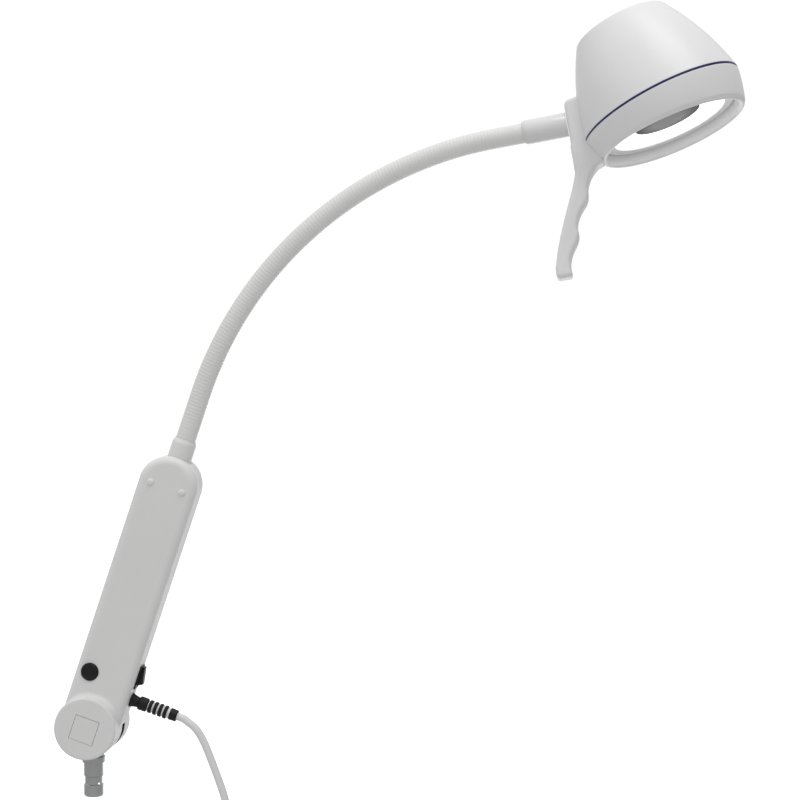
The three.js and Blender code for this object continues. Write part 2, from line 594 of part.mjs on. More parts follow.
// Bracket and grip are one moulding: a pad that hugs the head and a grip with finger hollows.
function bracketAndGrip() {
  const pad = new THREE.Shape();
  pad.moveTo(0.3, -38);
  pad.lineTo(0.3, 12.5);
  pad.quadraticCurveTo(0.5, 17.2, 4.4, 18);
  pad.lineTo(34, 21.5);
  pad.lineTo(34, -36);
  pad.lineTo(20.5, -37.4);
  const grip = new THREE.Shape();
  grip.moveTo(0.3, -20);
  grip.lineTo(0, -38);
  grip.bezierCurveTo(-1, -50, -20, -80, -28.4, -113);
  grip.quadraticCurveTo(-29, -121.8, -22, -122);
  grip.quadraticCurveTo(-16.5, -122, -16.2, -117);
  grip.quadraticCurveTo(-17.4, -108, -10.2, -99);
  grip.quadraticCurveTo(-5.6, -93, -5.8, -88);
  grip.quadraticCurveTo(-7, -79, 1, -70);
  grip.quadraticCurveTo(7.6, -63.6, 7, -56);
  grip.quadraticCurveTo(10, -44, 20.5, -37.2);
  grip.lineTo(24, -20);
  const PAD_HALF = 11;
  const GRIP_HALF = 8.5;
  let body = solid(pushed(pad, -PAD_HALF, PAD_HALF, 3, 8, 3));
  body = body.add(solid(pushed(grip, -GRIP_HALF, GRIP_HALF, 4, 6, 3)));
  const domeEnvelope = turned([[0, -6], [DOME.r + GAP, -6], ...domeOutline(GAP)], 48)
    .rotateY(-rad(DOME.tilt)).translate(DOME.x, 0, DOME.z);
  const bezelEnvelope = wedged(turned([[0, -3], [RIM.r + GAP, -3],
    ...bezelOutline(GAP, 0, RIM.height), [0, RIM.height]], 48))
    .rotateY(-rad(RIM.tilt)).translate(RIM.x, 0, RIM.z);
  return geometryOf(body.subtract(solid(domeEnvelope)).subtract(solid(bezelEnvelope)));
}
put(head, 'bracket_grip', bracketAndGrip(), white());

export default light;
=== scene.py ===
# Surgical examination light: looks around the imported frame.
# Blender objects are in metres in the frame's own axes. Shapes are laid out in millimetres in the
# frame of the arm, neck end or head, and MM turns them into metres when a mesh is made.
import json
import math

import bpy
import numpy as np
from mathutils import Matrix, Vector


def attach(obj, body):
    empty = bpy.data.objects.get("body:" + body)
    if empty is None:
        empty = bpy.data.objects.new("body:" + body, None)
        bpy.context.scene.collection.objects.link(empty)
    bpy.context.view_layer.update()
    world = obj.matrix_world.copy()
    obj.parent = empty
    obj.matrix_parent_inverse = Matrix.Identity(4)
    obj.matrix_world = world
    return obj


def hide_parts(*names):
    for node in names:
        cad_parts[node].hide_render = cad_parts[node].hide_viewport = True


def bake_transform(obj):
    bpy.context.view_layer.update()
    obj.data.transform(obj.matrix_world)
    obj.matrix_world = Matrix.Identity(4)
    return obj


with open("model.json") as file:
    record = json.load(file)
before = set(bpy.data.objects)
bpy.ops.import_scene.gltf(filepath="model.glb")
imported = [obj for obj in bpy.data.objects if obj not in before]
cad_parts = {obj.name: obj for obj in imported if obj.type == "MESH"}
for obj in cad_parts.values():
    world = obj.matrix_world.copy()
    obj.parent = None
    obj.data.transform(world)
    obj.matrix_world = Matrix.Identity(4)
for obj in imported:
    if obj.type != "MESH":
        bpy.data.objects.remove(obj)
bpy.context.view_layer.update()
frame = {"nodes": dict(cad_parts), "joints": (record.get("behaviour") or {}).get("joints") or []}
MM = 0.001
JOINT = {j["name"]: j for j in frame["joints"]}
PIVOT = Vector(JOINT["arm_tilt"]["pos_m"])
NECK_END = Vector(JOINT["head_swivel"]["pos_m"])

# ---------------------------------------------------------------- driving dimensions, millimetres
LEAN = 18.65                 # degrees from upright
DRUM_R = 25.45
DRUM_HALF = 26.0
SLOT_Y = (-0.7, 8.7)
SLOT_TOP = 7.5
EYE_ROOM_R = 17.0
BODY_HALF = 24.25
BODY_T = 16.35               # half the housing's thickness
BODY_TOP = 230.3
BODY_EDGE = 6.2
WALL = 2.6
PARTING = 0.15
BUTTON = (-12.3, 43.2, 6.9)  # x, z, radius
PLATE_HALF = 9.85
PLATE_DROP = 0.8
PLUG_SPOTS = ((-13.35, 205.6), (13.35, 205.6))
SCREW_SPOTS = ((-15, 192), (15, 192), (-15, 84), (15, 84))
ROCKER_Z = 49.2
ROCKER_HALF = 9.8
RELIEF_Z = 29.3
RELIEF_END = 64.5
FERRULE_R = 9.75
NECK_R = 8.05
NECK_BASE = 243.5
NECK_STRAIGHT = 40.0
NECK_ARC = 326.0
NECK_LENGTH = 391.0
NECK_END_PITCH = 10.35
UPPER_FERRULE = 35.3
LINKS = 10
FIRST_JOINT = 18.0
JOINT_PITCH = 39.5
RIB_PITCH = 2.75
RIB_DEPTH = 0.2
SWIVEL = 10.2
DOME = {"x": 74.9, "z": -0.5, "tilt": 15.8, "r": 66.15, "h": 71.5, "top": 75.6}
RIM = {"x": 80.5, "z": -23.8, "tilt": 11.7, "r": 59.9, "lip": 4.0, "height": 23.9}
SHELL = 2.4
HALF_LINE = 0.65
REFLECTOR_R = 27.0
CORD_R = 3.3
COIL_CENTRE = (0.114, 0.0061, -0.088)   # metres
PLUG_TOP = -0.170            # metres
TAIL_Y = 0.0234              # metres, beside the coil


# ---------------------------------------------------------------- frames
def turn(axis, degrees):
    return Matrix.Rotation(math.radians(degrees), 4, axis)


ARM = Matrix.Translation(PIVOT) @ turn("Y", LEAN)
NECK_TIP = Matrix.Translation(NECK_END) @ turn("Y", -NECK_END_PITCH)
HEAD = NECK_TIP @ turn("X", -SWIVEL)
DOME_FRAME = HEAD @ Matrix.Translation(Vector((DOME["x"], 0, DOME["z"])) * MM) @ turn("Y", -DOME["tilt"])
RIM_FRAME = HEAD @ Matrix.Translation(Vector((RIM["x"], 0, RIM["z"])) * MM) @ turn("Y", -RIM["tilt"])
ORIGIN = Matrix.Identity(4)


# ---------------------------------------------------------------- camera
CAMERA_AZIMUTH = math.radians(5.83)
CAMERA_ELEVATION = math.radians(2.07)
CAMERA_AT = Vector((0.4149, -1.5933, 0.3833))


def camera():
    a, e = CAMERA_AZIMUTH, CAMERA_ELEVATION
    back = Vector((math.sin(a) * math.cos(e), -math.cos(a) * math.cos(e), math.sin(e)))
    data = bpy.data.cameras.new("camera")
    data.lens = 90
    data.sensor_width = 36
    data.clip_end = 30
    eye = bpy.data.objects.new("camera", data)
    bpy.context.scene.collection.objects.link(eye)
    eye.location = CAMERA_AT
    eye.rotation_mode = "QUATERNION"
    eye.rotation_quaternion = (-back).to_track_quat("-Z", "Y")
    bpy.context.scene.camera = eye


camera()


# ---------------------------------------------------------------- materials
def new_material(name):
    material = bpy.data.materials.new(name)
    material.use_nodes = True
    nodes = material.node_tree.nodes
    return material, nodes, material.node_tree.links, nodes["Principled BSDF"]


def noise(nodes, links, scale, detail=3.0, stretch=(1, 1, 1)):
    """Noise in the object's own coordinates, in metres."""
    where = nodes.new("ShaderNodeTexCoord")
    mapping = nodes.new("ShaderNodeMapping")
    mapping.inputs["Scale"].default_value = stretch
    texture = nodes.new("ShaderNodeTexNoise")
    texture.inputs["Scale"].default_value = scale
    texture.inputs["Detail"].default_value = detail
    links.new(where.outputs["Object"], mapping.inputs["Vector"])
    links.new(mapping.outputs["Vector"], texture.inputs["Vector"])
    return texture


RAMP_STOPS = (0.35, 0.65)


def ramp(nodes, links, source, low, high):
    shades = nodes.new("ShaderNodeValToRGB")
    for stop, at, colour in zip(shades.color_ramp.elements, RAMP_STOPS, (low, high)):
        stop.position = at
        stop.color = (*colour, 1)
    links.new(source.outputs["Fac"], shades.inputs["Fac"])
    return shades


def spread(nodes, links, source, low, high):
    """A number that runs between low and high with the texture."""
    scaled = nodes.new("ShaderNodeMapRange")
    scaled.inputs["To Min"].default_value = low
    scaled.inputs["To Max"].default_value = high
    links.new(source.outputs["Fac"], scaled.inputs["Value"])
    return scaled


def surface(name, colour, vary, rough, rough_vary, grain, depth, metallic=0.0, coat=0.0, specular=0.5,
            stretch=(1, 1, 1), blotch=22.0):
    """Moulded or turned material: soft colour blotches, uneven gloss and a fine surface grain."""
    material, nodes, links, shader = new_material(name)
    blotches = noise(nodes, links, blotch, 4.0)
    low = [max(c * (1 - vary), 0) for c in colour]
    high = [min(c * (1 + vary), 1) for c in colour]
    links.new(ramp(nodes, links, blotches, low, high).outputs["Color"], shader.inputs["Base Color"])
    smears = noise(nodes, links, blotch * 3, 5.0)
    gloss = spread(nodes, links, smears, rough - rough_vary, rough + rough_vary)
    links.new(gloss.outputs["Result"], shader.inputs["Roughness"])
    fine = noise(nodes, links, grain, 2.0, stretch)
    bump = nodes.new("ShaderNodeBump")
    bump.inputs["Strength"].default_value = 0.5
    bump.inputs["Distance"].default_value = depth
    links.new(fine.outputs["Fac"], bump.inputs["Height"])
    links.new(bump.outputs["Normal"], shader.inputs["Normal"])
    shader.inputs["Metallic"].default_value = metallic
    shader.inputs["Coat Weight"].default_value = coat
    shader.inputs["Specular IOR Level"].default_value = specular
    return material


def lit_lens(name):
    """White diffuser with a fine cell pattern, lit from behind."""
    material, nodes, links, shader = new_material(name)
    cells = noise(nodes, links, 900.0, 2.0)
    tint = ramp(nodes, links, cells, (0.90, 0.91, 0.92), (0.97, 0.97, 0.97))
    links.new(tint.outputs["Color"], shader.inputs["Base Color"])
    shader.inputs["Roughness"].default_value = 0.22
    shader.inputs["Coat Weight"].default_value = 0.4
    shader.inputs["Emission Color"].default_value = (1, 1, 1, 1)
    shader.inputs["Emission Strength"].default_value = 1.5
    return material


# Span from the centre over which painted shade darkens the reflector, in metres.
PAINTED_SHADE_FADE = (0.012, 0.0255)   # metres from the centre
BOWL_FACE = 11.4                # height of the bowl's middle over the rim


def mirror_with_painted_shade(name, centre):
    """Grey mirror with painted shade: its colour goes dark towards its edge."""
    material, nodes, links, shader = new_material(name)
    where = nodes.new("ShaderNodeTexCoord")
    away = nodes.new("ShaderNodeVectorMath")
    away.operation = "DISTANCE"
    away.inputs[1].default_value = centre
    links.new(where.outputs["Object"], away.inputs[0])
    share = nodes.new("ShaderNodeMapRange")
    share.inputs["From Min"].default_value = PAINTED_SHADE_FADE[0]
    share.inputs["From Max"].default_value = PAINTED_SHADE_FADE[1]
    links.new(away.outputs["Value"], share.inputs["Value"])
    shades = nodes.new("ShaderNodeValToRGB")
    shades.color_ramp.elements[0].color = (0.30, 0.30, 0.305, 1)
    shades.color_ramp.elements[1].color = (0.02, 0.02, 0.022, 1)
    links.new(share.outputs["Result"], shades.inputs["Fac"])
    links.new(shades.outputs["Color"], shader.inputs["Base Color"])
    gloss = spread(nodes, links, noise(nodes, links, 66.0, 5.0), 0.35, 0.5)
    links.new(gloss.outputs["Result"], shader.inputs["Roughness"])
    shader.inputs["Specular IOR Level"].default_value = 0.12
    return material


HOUSING = surface("housing_white", (0.80, 0.80, 0.795), 0.012, 0.42, 0.04, 1500, 0.00006)
HEAD_WHITE = surface("head_white", (0.82, 0.82, 0.82), 0.010, 0.36, 0.04, 1100, 0.00002)
FERRULE = surface("ferrule_white", (0.76, 0.76, 0.76), 0.012, 0.16, 0.03, 700, 0.00001, coat=0.5)
SLEEVE = surface("neck_sleeve", (0.80, 0.80, 0.79), 0.015, 0.40, 0.05, 1300, 0.00003)
NAVY = surface("navy_ring", (0.010, 0.014, 0.12), 0.10, 0.30, 0.04, 900, 0.00001)
BLACK = surface("black_plastic", (0.012, 0.012, 0.013), 0.20, 0.42, 0.06, 1200, 0.00004, specular=0.25)
RUBBER = surface("black_rubber", (0.014, 0.014, 0.015), 0.20, 0.50, 0.07, 1600, 0.00005, specular=0.25)
CORD = surface("cord_sheath", (0.80, 0.80, 0.795), 0.02, 0.34, 0.05, 800, 0.00003)
STEEL = surface("steel", (0.44, 0.45, 0.445), 0.06, 0.30, 0.05, 900, 0.00002, metallic=1.0,
                stretch=(1, 1, 14))
BRASS = surface("brass", (0.55, 0.40, 0.16), 0.06, 0.30, 0.06, 700, 0.00002, metallic=1.0)
ALUMINIUM = surface("aluminium", (0.62, 0.63, 0.64), 0.05, 0.32, 0.06, 900, 0.00002, metallic=1.0,
                    stretch=(1, 1, 8))
BOARD = surface("circuit_board", (0.012, 0.11, 0.05), 0.25, 0.35, 0.06, 500, 0.00003, blotch=160)
# The reflector's material, with painted shade that darkens it towards its edge.
REFLECTOR_PAINTED_SHADE = mirror_with_painted_shade("reflector_grey", RIM_FRAME @ (Vector((0, 0, 11.5)) * MM))
STEP_WHITE = surface("step_white", (0.86, 0.86, 0.86), 0.008, 0.30, 0.03, 1000, 0.00002)
LENS = lit_lens("diffuser_white")


# ---------------------------------------------------------------- mesh helpers
def piece(name, points, faces, place, material, body, normals=None, sharp=32.0):
    """A mesh object from points in millimetres in the frame given by place, on a body if one is named."""
    mesh = bpy.data.meshes.new(name)
    world = [place @ (Vector(p) * MM) for p in points]
    mesh.from_pydata(world, [], faces)
    mesh.validate()
    mesh.update()
    mesh.shade_smooth()
    if normals is None:
        mesh.set_sharp_from_angle(angle=math.radians(sharp))
    else:
        spin = place.to_3x3()
        mesh.normals_split_custom_set_from_vertices([(spin @ Vector(n)).normalized() for n in normals])
    mesh.materials.append(material)
    made = bpy.data.objects.new(name, mesh)
    bpy.context.scene.collection.objects.link(made)
    if body:
        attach(made, body)
    return made


CORNER_STEPS = 3
STRAIGHT = -0.985            # cosine between the two sides of a corner that is left as it is


def rounded(points, radius):
    """An outline in which each corner off the axis is replaced with an arc of about that radius."""
    points = [Vector((p[0], p[1])) for p in points]
    out = []
    closed = (points[0] - points[-1]).length < 1e-6
    if closed:
        points = points[:-1]
    count = len(points)
    for i, p in enumerate(points):
        ends = not closed and i in (0, count - 1)
        if ends or p.x < 1e-6:
            out.append((p.x, p.y))
            continue
        a = points[i - 1] - p
        b = points[(i + 1) % count] - p
        cut = min(radius, a.length * 0.45, b.length * 0.45)
        if a.normalized().dot(b.normalized()) < STRAIGHT or cut < 0.02:
            out.append((p.x, p.y))
            continue
        start = p + a.normalized() * cut
        end = p + b.normalized() * cut
        for k in range(CORNER_STEPS + 1):
            t = k / CORNER_STEPS
            q = start * (1 - t) ** 2 + p * (2 * t * (1 - t)) + end * t ** 2
            out.append((q.x, q.y))
    if closed:
        out.append(out[0])
    return out


def turned_mesh(profile, segments):
    """Points and faces of a profile of (radius, height) turned about Z, its outside upwards."""
    closed = profile[0] == profile[-1]
    rows = profile[:-1] if closed else profile
    points, rings = [], []
    for r, z in rows:
        if r < 1e-6:
            rings.append([len(points)])
            points.append((0, 0, z))
            continue
        rings.append(list(range(len(points), len(points) + segments)))
        for k in range(segments):
            angle = 2 * math.pi * k / segments
            points.append((r * math.cos(angle), r * math.sin(angle), z))
    faces = []
    following = rings[1:] + rings[:1] if closed else rings[1:]
    for lower, upper in zip(rings, following):
        for k in range(segments):
            n = (k + 1) % segments
            if len(lower) == 1 and len(upper) == 1:
                continue
            if len(lower) == 1:
                faces.append((lower[0], upper[n], upper[k]))
            elif len(upper) == 1:
                faces.append((lower[k], lower[n], upper[0]))
            else:
                faces.append((lower[k], lower[n], upper[n], upper[k]))
    return points, faces


def turned(name, profile, place, material, body, segments, radius, warp=None):
    points, faces = turned_mesh(rounded(profile, radius), segments)
    if warp:
        points = [warp(p) for p in points]
    return piece(name, points, faces, place, material, body)


# ---------------------------------------------------------------- solids from distance fields
def smooth_step(value, low, high):
    t = np.clip((value - low) / (high - low), 0, 1)
    return t * t * (3 - 2 * t)


def pushed_field(flat, across, half, edge):
    """Distance to a flat outline (its distance given) pushed to plus and minus half, edges rounded."""
    u = flat + edge
    v = np.abs(across) - half + edge
    outside = np.hypot(np.maximum(u, 0), np.maximum(v, 0))
    return outside + np.minimum(np.maximum(u, v), 0) - edge


def cut(field, tool, edge=0.25):
    """field with tool taken away, the new edge rounded."""
    a, b = field, -tool
    h = np.maximum(edge * 2 - np.abs(a - b), 0) / (edge * 2)
    return np.maximum(a, b) + h * h * edge / 2


def joined(a, b, fillet):
    """Union with a hollow fillet of that radius; fillet may change from point to point."""
    u = np.maximum(fillet - a, 0)
    v = np.maximum(fillet - b, 0)
    return np.maximum(fillet, np.minimum(a, b)) - np.hypot(u, v)


def block_field(x, y, z, low, high):
    centre = [(a + b) / 2 for a, b in zip(low, high)]
    half = [(b - a) / 2 for a, b in zip(low, high)]
    d = [np.abs(v - c) - h for v, c, h in zip((x, y, z), centre, half)]
    outside = np.sqrt(sum(np.maximum(v, 0) ** 2 for v in d))
    return outside + np.minimum(np.maximum(np.maximum(d[0], d[1]), d[2]), 0)


def steps(*stretches):
    """Grid lines from stretches of (start, end, spacing)."""
    lines = []
    for start, end, spacing in stretches:
        count = max(int(round((end - start) / spacing)), 1)
        lines.extend(start + (end - start) * k / count for k in range(count))
    lines.append(stretches[-1][1])
    return np.array(lines)


def mesh_of_field(field, xs, ys, zs):
    """Closed quads where field is 0 (surface nets), with the field's slope as the normals."""
    grid = np.meshgrid(xs, ys, zs, indexing="ij")
    values = field(*grid)
    inside = values < 0
    shape = np.array(values.shape) - 1
    total = np.zeros(shape, np.int8)
    for i in (0, 1):
        for j in (0, 1):
            for k in (0, 1):
                total += inside[i:shape[0] + i, j:shape[1] + j, k:shape[2] + k]
    active = (total > 0) & (total < 8)
    index = np.full(shape, -1)
    index[active] = np.arange(active.sum())
    sums = np.zeros((*shape, 3))
    counts = np.zeros(shape)
    faces = []
    lines = (xs, ys, zs)
    for axis in range(3):
        first = [slice(None)] * 3
        second = [slice(None)] * 3
        first[axis], second[axis] = slice(0, -1), slice(1, None)
        f0, f1 = values[tuple(first)], values[tuple(second)]
        crossing = (f0 < 0) != (f1 < 0)
        share = np.where(crossing, f0 / np.where(crossing, f0 - f1, 1), 0)
        at = [g[tuple(first)] for g in grid]
        at[axis] = at[axis] + share * (grid[axis][tuple(second)] - grid[axis][tuple(first)])
        others = [a for a in range(3) if a != axis]
        for p in (0, 1):
            for q in (0, 1):
                part = [slice(None)] * 3
                part[others[0]] = slice(p, shape[others[0]] + p)
                part[others[1]] = slice(q, shape[others[1]] + q)
                hit = crossing[tuple(part)]
                counts += hit
                for a in range(3):
                    sums[..., a] += np.where(hit, at[a][tuple(part)], 0)
        where = np.argwhere(crossing)
        keep = np.all([(where[:, o] > 0) & (where[:, o] < len(lines[o]) - 1) for o in others], axis=0)
        where = where[keep]
        corner = []
        for p, q in ((1, 1), (0, 1), (0, 0), (1, 0)):
            cell = where.copy()
            cell[:, others[0]] -= p
            cell[:, others[1]] -= q
            corner.append(index[cell[:, 0], cell[:, 1], cell[:, 2]])
        quads = np.stack(corner, axis=1)
        outward = f0[where[:, 0], where[:, 1], where[:, 2]] < 0
        if axis == 1:
            outward = ~outward
        quads[~outward] = quads[~outward][:, ::-1]
        faces.append(quads)
    points = sums[active] / counts[active][:, None]
    reach = 0.6 * min(np.diff(line).min() for line in lines) + 0.3
    for _ in range(4):
        slope, value = field_slope(field, points)
        step = -(value / np.maximum((slope ** 2).sum(1), 0.2))[:, None] * slope
        length = np.linalg.norm(step, axis=1, keepdims=True)
        points = points + step * np.minimum(1, reach / np.maximum(length, 1e-9))
    slope, _ = field_slope(field, points)
    normals = slope / np.maximum(np.linalg.norm(slope, axis=1, keepdims=True), 1e-9)
    return points, np.concatenate(faces), normals


def field_slope(field, points, h=0.05):
    x, y, z = points.T
    slope = np.stack([
        field(x + h, y, z) - field(x - h, y, z),
        field(x, y + h, z) - field(x, y - h, z),
        field(x, y, z + h) - field(x, y, z - h),
    ], axis=1) / (2 * h)
    return slope, field(x, y, z)


def field_piece(name, field, xs, ys, zs, place, material, body):
    points, faces, normals = mesh_of_field(field, xs, ys, zs)
    return piece(name, points.tolist(), faces.tolist(), place, material, body, normals.tolist())


# ---------------------------------------------------------------- cord, coil and plug
COIL_LAYERS = (0.0436, 0.0370, 0.0304)   # metres, outer to inner
COIL_REACH = 0.0101                      # half the travel along the coil's axis in one layer
LAYER_CHANGE = 1 / 3                     # turns
TURN_POINTS = 24
S_BEND = 0.027                           # radius of the bend into the coil
TAIL_ANGLE = -30                         # where the tail leaves the inner turns, degrees


def arm_point(x, z):
    return ARM @ (Vector((x, 0, z)) * MM)


def coil_point(radius, angle, y):
    a = math.radians(angle)
    return Vector((COIL_CENTRE[0] + radius * math.cos(a), y, COIL_CENTRE[2] + radius * math.sin(a)))


def coil_turns(angle):
    """The wound turns: three layers from the outside in, then out along the rear side."""
    outer, middle, inner = COIL_LAYERS
    front = COIL_CENTRE[1] - COIL_REACH
    rear = COIL_CENTRE[1] + COIL_REACH
    turned_so_far = 6 + 3 * LAYER_CHANGE
    inner_turns = 3 - (turned_so_far - (angle - TAIL_ANGLE) / 360) % 1
    stages = (
        (3, outer, outer, front, rear),
        (LAYER_CHANGE, outer, middle, rear, rear),
        (3, middle, middle, rear, front),
        (LAYER_CHANGE, middle, inner, front, front),
        (inner_turns, inner, inner, front, rear),
        (LAYER_CHANGE, inner, inner, rear, TAIL_Y),
    )
    points = []
    for turns, r0, r1, y0, y1 in stages:
        count = round(turns * TURN_POINTS)
        for k in range(1, count + 1):
            share = k / count
            radius, y = r0 + (r1 - r0) * share, y0 + (y1 - y0) * share
            points.append(coil_point(radius, angle - 360 * turns * share, y))
        angle -= 360 * turns
    return points


def cord_route():
    """The cord's centreline in metres: out of the strain relief, down, round the coil and to the plug."""
    y = PIVOT.y
    cx, cz = COIL_CENTRE[0], COIL_CENTRE[2]
    hanging = ((0.0796, 0.0628), (0.0846, 0.0590), (0.0912, 0.0494), (0.0958, 0.0392), (0.0990, 0.0310),
               (0.1022, 0.0226), (0.1054, 0.0138), (0.1084, 0.0050), (0.1106, -0.0030), (0.1124, -0.0100))
    tail = ((0.1336, -0.1148), (0.1270, -0.1263), (0.1195, -0.1395), (0.1155, -0.1500), (0.1140, -0.1610),
            (0.1140, PLUG_TOP + 0.0003))
    points = [arm_point(RELIEF_END - back, RELIEF_Z) for back in (23, 15, 7, 0)]
    points.append(arm_point(RELIEF_END + 6, RELIEF_Z - 0.3))
    points += [Vector((x, y, z)) for x, z in hanging]
    outer = COIL_LAYERS[0]
    rise = math.sqrt((S_BEND + outer) ** 2 - S_BEND ** 2)
    meet = math.degrees(math.atan2(rise, S_BEND))
    for share in (0, 0.25, 0.5, 0.75, 1):
        a = math.radians(180 + meet * share)
        points.append(Vector((cx + S_BEND + S_BEND * math.cos(a), y, cz + rise + S_BEND * math.sin(a))))
    points += coil_turns(meet)
    points += [Vector((x, TAIL_Y, z)) for x, z in tail]
    return points


def mains_cord():
    line = bpy.data.curves.new("mains_cord", "CURVE")
    line.dimensions = "3D"
    line.resolution_u = 3
    line.bevel_depth = CORD_R * MM
    line.bevel_resolution = 4
    line.use_fill_caps = True
    route = cord_route()
    spline = line.splines.new("BEZIER")
    spline.bezier_points.add(len(route) - 1)
    for knot, at in zip(spline.bezier_points, route):
        knot.co = at
        knot.handle_left_type = knot.handle_right_type = "AUTO"
    line.materials.append(CORD)
    cord = bpy.data.objects.new("mains_cord", line)
    bpy.context.scene.collection.objects.link(cord)
    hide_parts("power_cord", "power_cord_coil", "power_cord_tail")
    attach(cord, "arm")
    return cord


def mains_plug():
    place = Matrix.Translation((COIL_CENTRE[0], TAIL_Y, PLUG_TOP))
    rings = []
    for k in range(4):
        z = -3.2 - 3.0 * k
        rings += [(5.05 + 0.12 * k, z + 1.3), (5.05 + 0.12 * k, z), (4.3, z - 0.2), (4.3, z - 1.2)]
    outline = [(0, 0), (4.4, 0), (4.6, -1.2), *rings, (6.2, -15.6), (8.2, -18.4), (11.0, -22.6),
               (12.9, -28.5), (14.0, -34), (14.0, -44), (13.2, -46), (0, -46)]
    plug = turned("plug_body", outline[::-1], place, CORD, "arm", 64, 0.6)
    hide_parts("mains_plug")
    made = [plug]
    for side, x in (("left", -9.5), ("right", 9.5)):
        pin = turned(f"plug_pin_{side}", [(0, -64), (2.4, -64), (2.4, -45.5), (0, -45.5)],
                     place @ Matrix.Translation((x * MM, 0, 0)), BRASS, "arm", 32, 1.0)
        made.append(pin)
    return made


def strain_relief():
    """Tapered root and collar, then ribs on two side bars with the cord showing between them."""
    def field(x, y, z):
        r = np.hypot(y, z)
        reach = np.interp(x, [24.4, 27.5, 30.6, 31.1, 31.6, 32.0, 38.0, 38.6, 39.1],
                          [5.9, 4.9, 4.2, 4.2, 5.3, 5.65, 5.6, 5.2, 3.9])
        body = np.maximum(r - reach, np.maximum(24.55 - x, x - 39.1))
        for k in range(4):
            body = np.minimum(body, pushed_field(r - 5.4, x - 41.5 - 4.35 * k, 1.45, 0.5))
        collar = pushed_field(r - np.interp(x, [58, 64.5], [4.95, 4.65]), x - 61.4, 3.1, 0.4)
        ends = np.maximum(38 - x, x - 60)
        bar = np.maximum(np.maximum(np.abs(z) - 2.6, 3.0 - y), np.maximum(r - 5.0, ends))
        body = np.minimum(np.minimum(body, collar), bar)
        bore = np.maximum(r - 3.45, 24.2 - x)
        return cut(body, bore, 0.12)

    lines = steps((24.2, 38.6, 0.5), (38.6, 58.6, 0.3), (58.6, 65.0, 0.45))
    across = steps((-6.8, 6.8, 0.4))
    place = ARM @ Matrix.Translation((0, 0, RELIEF_Z * MM))
    relief = field_piece("relief_sleeve", field, lines, across, across, place, RUBBER, "arm")
    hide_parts("strain_relief")
    core = turned("relief_core", [(3.35, 39.3), (4.25, 39.3), (4.25, 58.2), (3.35, 58.2), (3.35, 39.3)],
                  place @ turn("Y", 90), CORD, "arm", 48, 0.1)
    return [relief, core]


def cord_set():
    cord = mains_cord()
    relief = strain_relief()
    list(mains_plug())


cord_set()


# ---------------------------------------------------------------- pin and hinge tongue
def spigot_pin():
    eye_z = PIVOT.z / MM
    slant = Vector((0.2435, -0.9443, 0.2214)).normalized()

    def field(x, y, z):
        r = np.hypot(x, y)
        reach = np.interp(z, [0, 1.2, 9.8, 10.3, 16.4, 17.0, 28], [6.8, 8, 8, 7.15, 7.15, 8, 8])
        pin = np.maximum(r - reach, np.maximum(-z, z - 28.5))
        collar = pushed_field(r - 9.4, z - 30.5, 2.5, 0.5)
        eye = pushed_field(np.hypot(x, z - eye_z) - 12.5, y, 3.5, 0.5)
        tongue = block_field(x, y, z, (-6.2, -3.2, 31), (6.2, 3.2, eye_z)) - 0.3
        body = np.minimum(np.minimum(pin, collar), np.minimum(eye, tongue))
        body = cut(body, np.hypot(x, z - eye_z) - 4.3, 0.3)
        dx, dy, dz = x - 4.0, y - 1.0, z - 9.7
        along = dx * slant.x + dy * slant.y + dz * slant.z
        hole = np.sqrt(np.maximum(dx * dx + dy * dy + dz * dz - along * along, 0)) - 0.8
        return cut(body, hole, 0.2)

    across = steps((-13.2, -9.6, 0.6), (-9.6, 9.6, 0.4), (9.6, 13.2, 0.6))
    deep = steps((-9.8, 9.8, 0.4))
    up = steps((-0.4, 2.0, 0.3), (2.0, 8.4, 0.8), (8.4, 11.6, 0.3), (11.6, 15.6, 1.0), (15.6, 18.0, 0.3),
               (18.0, 27.2, 1.2), (27.2, 34.0, 0.4), (34.0, 73.6, 0.7))
    pin = field_piece("mounting_pin", field, across, deep, up, ORIGIN, STEEL, "mount_pin")
    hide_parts("spigot_pin")


spigot_pin()


